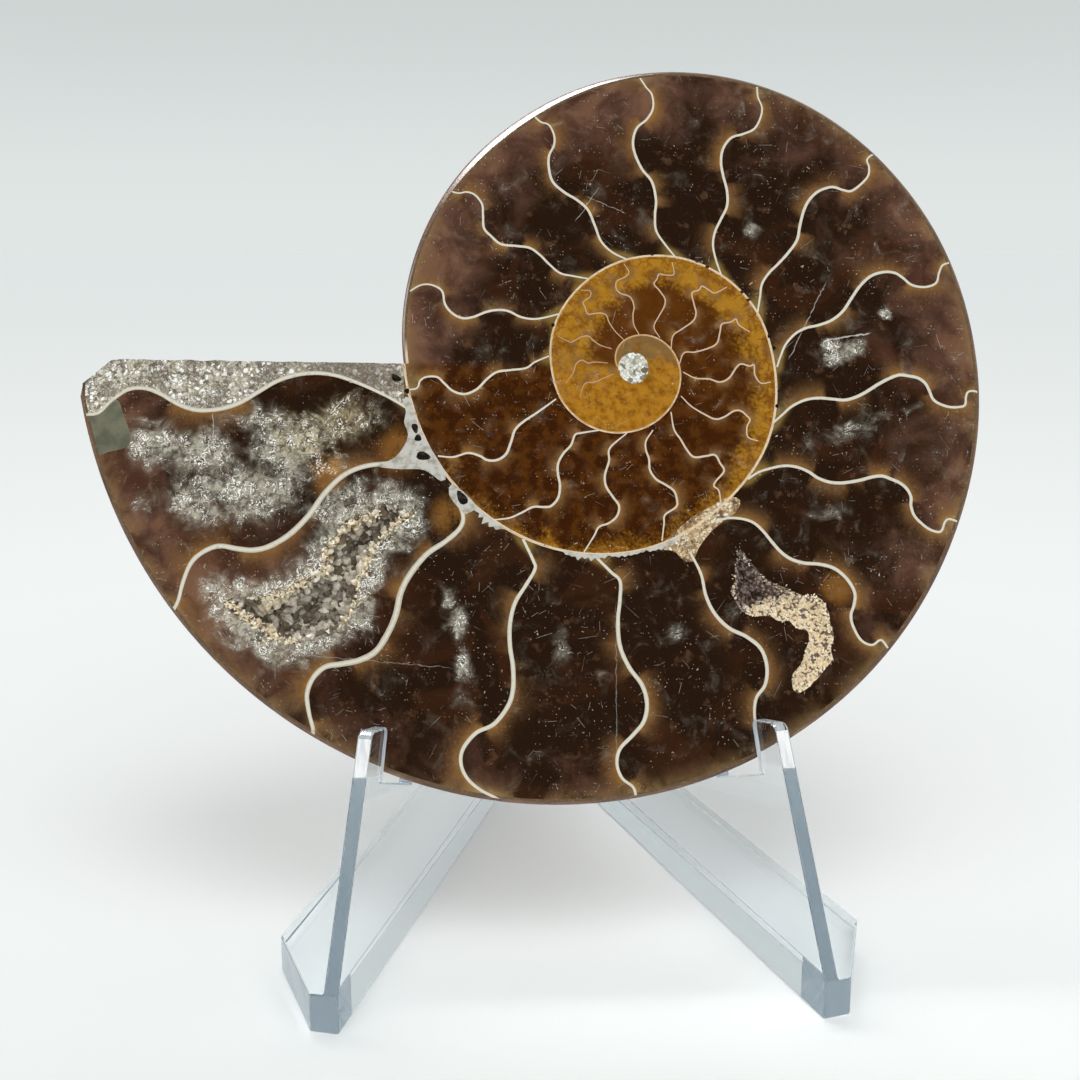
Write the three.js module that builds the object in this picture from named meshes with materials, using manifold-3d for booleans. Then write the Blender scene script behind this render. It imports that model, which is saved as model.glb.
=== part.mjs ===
import * as THREE from 'three';
import { mergeVertices } from 'three/addons/utils/BufferGeometryUtils.js';
import Module from 'manifold-3d';

// A polished half ammonite leaning back on a clear acrylic stand of two mirrored halves.
// Millimetres, +Z up. The cut face looks towards -Y and +X is to its right.
// The face has a frame of its own: x to the right, y up the face, z out of it, from the spiral's centre.

const wasm = await Module();
wasm.setup();

const degree = Math.PI / 180;
const gap = 0.3;

// How the fossil leans, and where its spiral's centre is over the stand's front feet
const lean = 22 * degree;
const spiralCentre = new THREE.Vector3(9.1, 35.8, 69.8);

// Radius of the shell's spiral every 30 degrees, from the broken mouth inwards through two turns
const radiusStep = 30;
const whorlRadii = [
  68.6, 63.5, 58.1, 52.9, 48.3, 45.1, 43.9, 43.5, 42.4, 39.3, 35.0, 31.1,
  28.6, 27.2, 25.6, 23.3, 20.6, 19.1, 17.8, 17.3, 16.0, 14.2, 12.4, 11.2, 10.3,
];
const turnShrink = 0.42;

// The mouth is a straight break a little above the level of the centre, with its outer corner chipped off
const mouthTurn = -1.2;
const chipSize = 8;
const chipCentre = [-69.1, 2.4];
const chipTurn = 41 * degree;

// Half of the shell's thickness: how thick it gets, and how soon it gets there as the shell grows
const fullThickness = 11.2;
const growthRadius = 42;
const middleThickness = 1.6;

// The flank across one whorl, as shares of its radius and of its thickness
const flankCrest = 0.62;
const flankPower = 2.3;
const shoulderShare = 0.37;
const umbilicusShare = 0.3;
const shoulderHeight = 0.9;
const seamHeight = 0.5;
const flankShares = [1, 0.995, 0.98, 0.95, 0.9, 0.82, 0.72, 0.6, 0.5, 0.43, 0.39, 0.365, 0.335, 0.3];
const sectionStep = 6;
const halfTurns = 4;
const buriedScale = 0.95;

// The two open hollows in the cut face, each as a closed curve through hand-placed points
const leftHollow = {
  points: [
    [-26.2, -17.8], [-29.5, -22.2], [-33, -25.6], [-34.3, -31], [-38, -33.8], [-45.4, -33.8],
    [-49.8, -29.8], [-47.6, -27.3], [-42.4, -26.6], [-38, -21], [-33.4, -17],
  ],
  depth: 6,
  crystalSpacing: 2.7,
  seed: 11,
};
const rightHollow = {
  points: [
    [12.3, -23], [16.6, -27.4], [22.2, -29.4], [23.8, -33.6], [22.4, -38], [19.4, -40.8],
    [17.4, -39.4], [18.7, -35.4], [15.8, -32], [12, -31], [10.7, -27.4],
  ],
  depth: 4.6,
  crystalSpacing: 2.3,
  seed: 29,
};
const hollowSteps = 3;
const insetStep = 0.35;
const aboveFace = 1;

// Levels of a hollow as it narrows: each one's share of the depth, and how far in its wall has come
const hollowLevels = [[0, 0], [0.55, 0.25], [1, 0.7]];

// The crystals that line a hollow
const crustThickness = 0.8;
const wallPulls = 6;
const crystalSides = 6;
const crystalRadius = [0.75, 1.25];
const crystalLength = [1.5, 3.1];
const crystalRoot = 0.8;
const crystalShoulder = [0.86, 0.5];
const rowSpacing = 0.87;
const floorMargin = 1.6;
const wallCrystalLift = 0.9;
const wallCrystalDepth = [0.3, 0.65];

// One half of the stand: an upright web with a flat foot along its outer side
const halfAngle = 16.1 * degree;
const frontCorner = 27;
const webThickness = 1.7;
const footThickness = 4.5;
const footTipWidth = 3.3;
const footWidth = 11.7;
const footTaper = 12.5;
const footLength = 90;
const webLength = 106;
const lipFront = [13.3, 30.3];
const lipBack = [19.4, 29.25];
const lipRound = 1.2;
const lipSag = 0.1;
const seatHeight = 23.1;
const restDepth = 11.4;
const restTop = 66;
const restWidth = 5.5;
const tailHeight = 15;
const crossingHeight = 8;
const crossingLength = 16;

// Turns a closed three.js shape into a solid, leaving out the faces that merging closes up
function toSolid(geometry) {
  const bare = geometry.clone();
  bare.deleteAttribute('normal');
  bare.deleteAttribute('uv');
  const merged = mergeVertices(bare, 1e-4);
  const corners = [];
  for (let i = 0; i < merged.index.count; i += 3) {
    const [a, b, c] = [0, 1, 2].map((k) => merged.index.getX(i + k));
    if (a !== b && b !== c && a !== c) corners.push(a, b, c);
  }
  const mesh = new wasm.Mesh({
    numProp: 3,
    vertProperties: new Float32Array(merged.attributes.position.array),
    triVerts: new Uint32Array(corners),
  });
  return new wasm.Manifold(mesh);
}

function toGeometry(solid) {
  const mesh = solid.getMesh();
  const geometry = new THREE.BufferGeometry();
  geometry.setAttribute('position', new THREE.BufferAttribute(mesh.vertProperties, 3));
  geometry.setIndex(new THREE.BufferAttribute(mesh.triVerts, 1));
  const faceted = geometry.toNonIndexed();
  faceted.computeVertexNormals();
  return faceted;
}

function fromTriangles(vertices, triangles) {
  const geometry = new THREE.BufferGeometry();
  geometry.setAttribute('position', new THREE.Float32BufferAttribute(vertices.flat(), 3));
  geometry.setIndex(triangles.flat());
  return geometry;
}

// Fills a closed outline with triangles that all turn the way asked: 1 counter-clockwise, -1 clockwise
function fillOutline(points, turn) {
  const contour = points.map(([x, y]) => new THREE.Vector2(x, y));
  const triangles = THREE.ShapeUtils.triangulateShape(contour, []);
  const areas = triangles.map((corners) => THREE.ShapeUtils.area(corners.map((k) => contour[k])));
  const total = areas.reduce((sum, area) => sum + area, 0);
  return triangles.map(([a, b, c]) => (total * turn > 0 ? [a, b, c] : [a, c, b]));
}

// Moves a counter-clockwise outline inwards, in short steps that round off its tight corners
function inset(points, distance) {
  const count = points.length;
  let outline = points;
  for (let left = distance; left > 1e-6; left -= insetStep) {
    const last = outline;
    const step = Math.min(left, insetStep);
    outline = last.map(([x, y], i) => {
      const before = last[(i + count - 1) % count];
      const after = last[(i + 1) % count];
      const along = new THREE.Vector2(after[0] - before[0], after[1] - before[1]).normalize();
      const eased = [(before[0] + after[0] + 2 * x) / 4, (before[1] + after[1] + 2 * y) / 4];
      return [eased[0] - along.y * step, eased[1] + along.x * step];
    });
  }
  return outline;
}

// Always the same shower of numbers from 0 to 1 for one seed
function randomNumbers(seed) {
  const multiplier = 16807;
  const modulus = 2 ** 31 - 1;
  let state = seed;
  return () => {
    state = (state * multiplier) % modulus;
    return state / modulus;
  };
}

const spiral = new THREE.SplineCurve(
  whorlRadii.map((radius, i) => new THREE.Vector2(i * radiusStep, radius)),
);

// Radius of the spiral at a turn in degrees from the mouth; past the list it shrinks by one share a turn
function whorlRadius(turn) {
  const lastTurn = (whorlRadii.length - 1) * radiusStep;
  if (turn <= 0) return whorlRadii[0] - (turn * (whorlRadii[0] - whorlRadii[1])) / radiusStep;
  if (turn > lastTurn) return turnShrink * whorlRadius(turn - 360);
  return spiral.getPoint(turn / lastTurn).y;
}

// Height of one whorl's flank over the cut face, at a share of its radius
function flankHeight(share) {
  if (share >= flankCrest) {
    const outward = (share - flankCrest) / (1 - flankCrest);
    return Math.max(0, 1 - outward ** flankPower) ** (1 / flankPower);
  }
  if (share >= shoulderShare) {
    const inward = (flankCrest - share) / (flankCrest - shoulderShare);
    return 1 - (1 - shoulderHeight) * inward ** 2;
  }
  const down = (shoulderShare - share) / (shoulderShare - umbilicusShare);
  return shoulderHeight - (shoulderHeight - seamHeight) * down ** 0.8;
}

// A stretch of one whorl between two steps along the spiral, down to the cut face and in to the axis.
// Its first and last sections are a little smaller, so that they end inside the stretches next to it.
function whorlStretch(firstStep, lastStep, buriedStart) {
  const rows = flankShares.length;
  const count = lastStep - firstStep + 1;
  const vertices = [[0, 0, 0], [0, 0, -middleThickness]];
  const profiles = Array.from({ length: count }, (_, i) => {
    const turn = mouthTurn + (firstStep + i) * sectionStep;
    const buried = i === count - 1 || (i === 0 && buriedStart);
    const radius = whorlRadius(turn) * (buried ? buriedScale : 1);
    const thickness = fullThickness * Math.tanh(radius / growthRadius);
    const angle = Math.PI + turn * degree;
    return flankShares.map((share) => {
      const profile = [share * radius, thickness * flankHeight(share)];
      vertices.push([profile[0] * Math.cos(angle), profile[0] * Math.sin(angle), -profile[1]]);
      return profile;
    });
  });
  const at = (section, row) => 2 + section * rows + row;
  const triangles = [];
  for (let i = 0; i + 1 < count; i += 1) {
    triangles.push([0, at(i, 0), at(i + 1, 0)]);
    triangles.push([at(i, rows - 1), 1, at(i + 1, rows - 1)]);
    for (let j = 0; j + 1 < rows; j += 1) {
      triangles.push([at(i, j), at(i + 1, j + 1), at(i + 1, j)]);
      triangles.push([at(i, j), at(i, j + 1), at(i + 1, j + 1)]);
    }
  }
  const closeEnd = (section, turn) => {
    const outline = [[0, 0], ...profiles[section], [0, middleThickness]];
    const corner = (k) => (k === 0 ? 0 : k === rows + 1 ? 1 : at(section, k - 1));
    fillOutline(outline, turn).forEach((triangle) => triangles.push(triangle.map(corner)));
  };
  closeEnd(0, -1);
  closeEnd(count - 1, 1);
  return toSolid(fromTriangles(vertices, triangles));
}

// A closed curve through hand-placed points, as a counter-clockwise outline
function hollowOutline(hollow) {
  const curve = new THREE.CatmullRomCurve3(hollow.points.map(([x, y]) => new THREE.Vector3(x, y, 0)), true);
  const points = curve.getPoints(hollow.points.length * hollowSteps).slice(0, -1).map((p) => [p.x, p.y]);
  return THREE.ShapeUtils.area(points.map(([x, y]) => new THREE.Vector2(x, y))) > 0 ? points : points.reverse();
}

// A narrowing plug in a hollow, this far in from its walls and floor, that ends at a height over the cut face
function hollowPlug(hollow, fromWall, topHeight) {
  const outline = hollowOutline(hollow);
  const reach = hollow.depth - fromWall;
  const lower = hollowLevels
    .map(([share, taper]) => [-share * reach, fromWall + taper])
    .filter(([height]) => height < topHeight);
  const levels = [[topHeight, fromWall], ...lower].map(([height, inward]) =>
    inset(outline, inward).map(([x, y]) => [x, y, height]),
  );
  const count = outline.length;
  const last = levels.length - 1;
  const triangles = fillOutline(levels[0], 1);
  fillOutline(levels[last], -1).forEach((corners) => triangles.push(corners.map((k) => k + last * count)));
  for (let level = 0; level < last; level += 1) {
    for (let i = 0; i < count; i += 1) {
      const [a, b] = [level * count + i, level * count + ((i + 1) % count)];
      triangles.push([a, a + count, b + count], [a, b + count, b]);
    }
  }
  return toSolid(fromTriangles(levels.flat(), triangles));
}

function ammoniteSolid() {
  const halfTurn = 180 / sectionStep;
  const stretches = Array.from({ length: halfTurns }, (_, i) =>
    whorlStretch(i * halfTurn - (i > 0 ? 1 : 0), (i + 1) * halfTurn + 1, i > 0),
  );
  const chip = new THREE.BoxGeometry(chipSize, chipSize, 4 * chipSize);
  chip.rotateZ(chipTurn);
  chip.translate(chipCentre[0], chipCentre[1], 0);
  return stretches
    .reduce((shell, stretch) => shell.add(stretch))
    .subtract(toSolid(chip))
    .subtract(hollowPlug(leftHollow, 0, aboveFace))
    .subtract(hollowPlug(rightHollow, 0, aboveFace));
}

// A six-sided crystal with a point, standing on a root that sinks into what it grows from
function crystalSolid(place, direction, radius, length, spin) {
  const shoulder = [crystalShoulder[0] * radius, crystalShoulder[1] * length];
  const profile = [[0, -crystalRoot], [radius, -crystalRoot], shoulder, [0, length]];
  const crystal = new THREE.LatheGeometry(profile.map(([x, y]) => new THREE.Vector2(x, y)), crystalSides);
  crystal.rotateY(spin);
  crystal.applyQuaternion(new THREE.Quaternion().setFromUnitVectors(new THREE.Vector3(0, 1, 0), direction));
  crystal.translate(place.x, place.y, place.z);
  return toSolid(crystal);
}

function isInside([x, y], outline) {
  let inside = false;
  outline.forEach(([x1, y1], i) => {
    const [x2, y2] = outline[(i + 1) % outline.length];
    if (y1 > y !== y2 > y && x < x1 + ((x2 - x1) * (y - y1)) / (y2 - y1)) inside = !inside;
  });
  return inside;
}

// The places on a hollow's floor and walls where its crystals grow, with the way each one points
function crystalPlaces(hollow, random) {
  const floor = inset(hollowOutline(hollow), floorMargin);
  const wall = inset(hollowOutline(hollow), crustThickness);
  const spacing = hollow.crystalSpacing;
  const xs = floor.map(([x]) => x);
  const ys = floor.map(([, y]) => y);
  const places = [];
  for (let y = Math.min(...ys); y < Math.max(...ys); y += spacing * rowSpacing) {
    for (let x = Math.min(...xs); x < Math.max(...xs); x += spacing) {
      const spot = [x + spacing * (random() - 0.5), y + spacing * (random() - 0.5)];
      const tilt = new THREE.Vector3(random() - 0.5, random() - 0.5, 1).normalize();
      if (isInside(spot, floor)) places.push([new THREE.Vector3(...spot, crustThickness - hollow.depth), tilt]);
    }
  }
  wall.forEach(([x, y], i) => {
    if (i % hollowSteps > 0) return;
    const [ahead, behind] = [wall[(i + 1) % wall.length], wall[(i + wall.length - 1) % wall.length]];
    const inward = new THREE.Vector3(behind[1] - ahead[1], ahead[0] - behind[0], 0).normalize();
    const way = inward.add(new THREE.Vector3(0, 0, wallCrystalLift * random())).normalize();
    const depth = hollow.depth * THREE.MathUtils.lerp(...wallCrystalDepth, random());
    places.push([new THREE.Vector3(x, y, -depth), way]);
  });
  return places;
}

// The largest closed surface of a solid, without loose bits or sealed bubbles
function mainPiece(solid) {
  return solid.decompose().reduce((main, piece) => (piece.volume() > main.volume() ? piece : main));
}

// The space left inside a hollow when it is lined by one thickness on its floor and walls
function linedSpace(hollow) {
  const open = hollowPlug(hollow, gap, aboveFace);
  const pulls = Array.from({ length: wallPulls }, (_, i) => (i * 2 * Math.PI) / wallPulls);
  const pulled = pulls.map((angle) =>
    open.translate([crustThickness * Math.cos(angle), crustThickness * Math.sin(angle), crustThickness]),
  );
  return pulled.reduce((space, next) => space.intersect(next));
}

// A hollow's lining: a thin bowl with crystals standing in it
function crustSolid(hollow) {
  const random = randomNumbers(hollow.seed);
  const pick = ([low, high]) => THREE.MathUtils.lerp(low, high, random());
  const room = hollowPlug(hollow, gap, -2 * gap);
  const bowl = room.subtract(linedSpace(hollow));
  const crystals = crystalPlaces(hollow, random).map(([place, way]) =>
    crystalSolid(place, way, pick(crystalRadius), pick(crystalLength), 2 * Math.PI * random()),
  );
  const crust = crystals.reduce((grown, crystal) => grown.add(crystal), bowl).intersect(room);
  return mainPiece(crust);
}

// Where the cut face crosses the web's outer side at a height, as a distance along the web from its front
function faceAlongWeb(height) {
  const faceY = spiralCentre.y + (height - spiralCentre.z) * Math.tan(lean);
  return (faceY - webThickness * Math.sin(halfAngle)) / Math.cos(halfAngle);
}

// The web from its side: front slope, lip, seat square to the fossil's face, back rest and low tail
function webProfile() {
  const seatFront = faceAlongWeb(seatHeight) - gap;
  const seatBack = seatFront + (restDepth * Math.cos(lean)) / Math.cos(halfAngle);
  const seatBackHeight = seatHeight - restDepth * Math.sin(lean);
  const restRise = restTop - seatBackHeight;
  const restFront = seatBack + (restRise * Math.tan(lean)) / Math.cos(halfAngle);
  const shape = new THREE.Shape();
  shape.moveTo(0, 0);
  shape.lineTo(0, footThickness);
  shape.lineTo(lipFront[0] - 0.4 * lipRound, lipFront[1] - lipRound);
  shape.quadraticCurveTo(lipFront[0], lipFront[1], lipFront[0] + lipRound, lipFront[1] - lipSag);
  shape.lineTo(lipBack[0] - lipRound, lipBack[1] + lipSag);
  shape.quadraticCurveTo(lipBack[0], lipBack[1], faceAlongWeb(lipBack[1] - lipRound) - gap, lipBack[1] - lipRound);
  shape.lineTo(seatFront, seatHeight);
  shape.lineTo(seatBack, seatBackHeight);
  shape.lineTo(restFront, restTop);
  shape.quadraticCurveTo(restFront + 0.5 * restWidth, restTop + 0.5 * restWidth, restFront + restWidth, restTop);
  shape.lineTo(footLength, tailHeight);
  shape.lineTo(webLength, tailHeight);
  shape.lineTo(webLength, 0);
  return shape;
}

// A web as a solid in the stand half's own frame: x out from the inner face, y back along it, z up
function webSolid(from, to) {
  const web = new THREE.ExtrudeGeometry(webProfile(), { depth: to - from, bevelEnabled: false, curveSegments: 4 });
  web.applyMatrix4(new THREE.Matrix4().makeBasis(
    new THREE.Vector3(0, 1, 0), new THREE.Vector3(0, 0, 1), new THREE.Vector3(1, 0, 0),
  ));
  web.translate(from, 0, 0);
  return toSolid(web);
}

function footSolid() {
  const shape = new THREE.Shape();
  shape.moveTo(0, 0);
  shape.lineTo(footTipWidth, 0);
  shape.lineTo(footWidth, footTaper);
  shape.lineTo(footWidth, footLength - footWidth);
  shape.lineTo(webThickness, footLength);
  shape.lineTo(0, footLength);
  return toSolid(new THREE.ExtrudeGeometry(shape, { depth: footThickness, bevelEnabled: false }));
}

// The right half stands in place in the row's frame; the left half is its mirror image
function placedHalf(solid, side) {
  const turned = solid.rotate([0, 0, halfAngle / degree]).translate([frontCorner, 0, 0]);
  return side > 0 ? turned : turned.mirror([1, 0, 0]);
}

// Where the two webs cross at the back, each is slotted half way for the other
function standHalf(side) {
  const other = placedHalf(webSolid(-gap, webThickness + gap), -side);
  const crossingY = frontCorner / Math.tan(halfAngle);
  const slotBox = new THREE.BoxGeometry(4 * crossingLength, 2 * crossingLength, 2 * tailHeight);
  const slotHeight = side > 0 ? crossingHeight - tailHeight : crossingHeight + tailHeight - gap;
  slotBox.translate(0, crossingY, slotHeight);
  const half = placedHalf(webSolid(0, webThickness).add(footSolid()), side);
  return half.subtract(other.intersect(toSolid(slotBox)));
}

const stone = { metalness: 0, roughness: 0.25 };
const acrylic = { color: 0xdfe8ec, metalness: 0, roughness: 0.05, transparent: true, opacity: 0.4 };

function namedMesh(name, solid, finish) {
  const mesh = new THREE.Mesh(toGeometry(solid), new THREE.MeshStandardMaterial(finish));
  mesh.name = name;
  return mesh;
}

const fossil = new THREE.Group();
fossil.rotation.x = Math.PI / 2 - lean;
fossil.position.copy(spiralCentre);
fossil.add(namedMesh('ammonite', ammoniteSolid(), { ...stone, color: 0x4a2e1e }));
fossil.add(namedMesh('crystal_crust_left', crustSolid(leftHollow), { ...stone, color: 0x9a9488 }));
fossil.add(namedMesh('crystal_crust_right', crustSolid(rightHollow), { ...stone, color: 0xb9a684 }));

const stand = new THREE.Group();
stand.add(namedMesh('stand_left', standHalf(-1), acrylic));
stand.add(namedMesh('stand_right', standHalf(1), acrylic));

// The row's origin is under the middle of the whole thing, on the table
const whole = new THREE.Group();
whole.add(fossil, stand);
whole.updateMatrixWorld(true);
const middle = new THREE.Box3().setFromObject(whole, true).getCenter(new THREE.Vector3());
whole.position.set(-middle.x, -middle.y, 0);

export default whole;
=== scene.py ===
import math

import bmesh
import bpy
import numpy as np
from mathutils import Matrix, Vector, noise
from mathutils.geometry import delaunay_2d_cdt
from mathutils.kdtree import KDTree


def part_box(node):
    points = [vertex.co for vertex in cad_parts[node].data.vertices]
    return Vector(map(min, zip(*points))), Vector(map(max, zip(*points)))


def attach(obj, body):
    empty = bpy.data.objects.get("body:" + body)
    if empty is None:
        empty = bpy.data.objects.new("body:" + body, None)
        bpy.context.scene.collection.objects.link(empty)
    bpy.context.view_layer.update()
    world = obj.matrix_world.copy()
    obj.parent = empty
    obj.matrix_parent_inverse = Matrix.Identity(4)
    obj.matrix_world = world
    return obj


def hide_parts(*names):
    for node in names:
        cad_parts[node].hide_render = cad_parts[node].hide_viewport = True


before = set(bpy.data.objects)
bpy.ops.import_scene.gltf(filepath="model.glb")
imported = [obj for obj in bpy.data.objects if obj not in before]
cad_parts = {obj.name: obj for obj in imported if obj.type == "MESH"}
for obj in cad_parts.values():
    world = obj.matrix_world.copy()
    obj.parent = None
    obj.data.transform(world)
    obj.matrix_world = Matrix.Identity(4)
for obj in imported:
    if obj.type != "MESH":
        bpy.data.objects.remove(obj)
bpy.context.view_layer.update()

MM = 0.001

# Where things stand, in metres, from the two halves of the stand
LEFT_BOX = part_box("stand_left")
RIGHT_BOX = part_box("stand_right")
STAND_MIDDLE = (LEFT_BOX[0].x + RIGHT_BOX[1].x) / 2
STAND_FRONT = LEFT_BOX[0].y


def from_stand(x, y, z):
    """A place given in mm from the middle of the stand's front edge, in metres in the frame."""
    return Vector((STAND_MIDDLE + x * MM, STAND_FRONT + y * MM, z * MM))


# The polished face: the spiral's centre on it, and its own directions
LEAN = math.radians(22)
SPIRAL_CENTRE = from_stand(9.1, 35.8, 69.8)
FACE_RIGHT = Vector((1, 0, 0))
FACE_UP = Vector((0, math.sin(LEAN), math.cos(LEAN)))
FACE_OUT = Vector((0, -math.cos(LEAN), math.sin(LEAN)))

# The camera that took the photograph: a 50 mm lens close to the fossil, from a little to its left
PHOTO_SIZE = 1080
FOCAL_PIXELS = 1500
SENSOR_WIDTH = 36.0
CAMERA_TARGET = from_stand(-4.29, 9.0, 53.4)
CAMERA_AZIMUTH = math.radians(-3.52)
CAMERA_ELEVATION = math.radians(11.76)
CAMERA_DISTANCE = 164 * MM
CAMERA_RIGHT = Vector((math.cos(CAMERA_AZIMUTH), math.sin(CAMERA_AZIMUTH), 0))
CAMERA_BACK = Vector((
    math.sin(CAMERA_AZIMUTH) * math.cos(CAMERA_ELEVATION),
    -math.cos(CAMERA_AZIMUTH) * math.cos(CAMERA_ELEVATION),
    math.sin(CAMERA_ELEVATION),
))
CAMERA_UP = CAMERA_BACK.cross(CAMERA_RIGHT)
CAMERA_EYE = CAMERA_TARGET + CAMERA_BACK * CAMERA_DISTANCE

# Radius of the shell's spiral every 30 degrees, from the broken mouth inwards, in mm
RADIUS_STEP = 30
WHORL_RADII = [
    68.6, 63.5, 58.1, 52.9, 48.3, 45.1, 43.9, 43.5, 42.4, 39.3, 35.0, 31.1,
    28.6, 27.2, 25.6, 23.3, 20.6, 19.1, 17.8, 17.3, 16.0, 14.2, 12.4, 11.2,
    10.3, 10.0, 9.3, 8.2, 7.15, 6.35, 5.75, 5.2, 4.6, 3.95, 3.3, 2.6, 2.0,
]
LAST_TURN = RADIUS_STEP * (len(WHORL_RADII) - 1)
MOUTH_TURN = -1.2
# The turn at which a chamber's age counts as 1
OLD_TURN = 960

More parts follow.
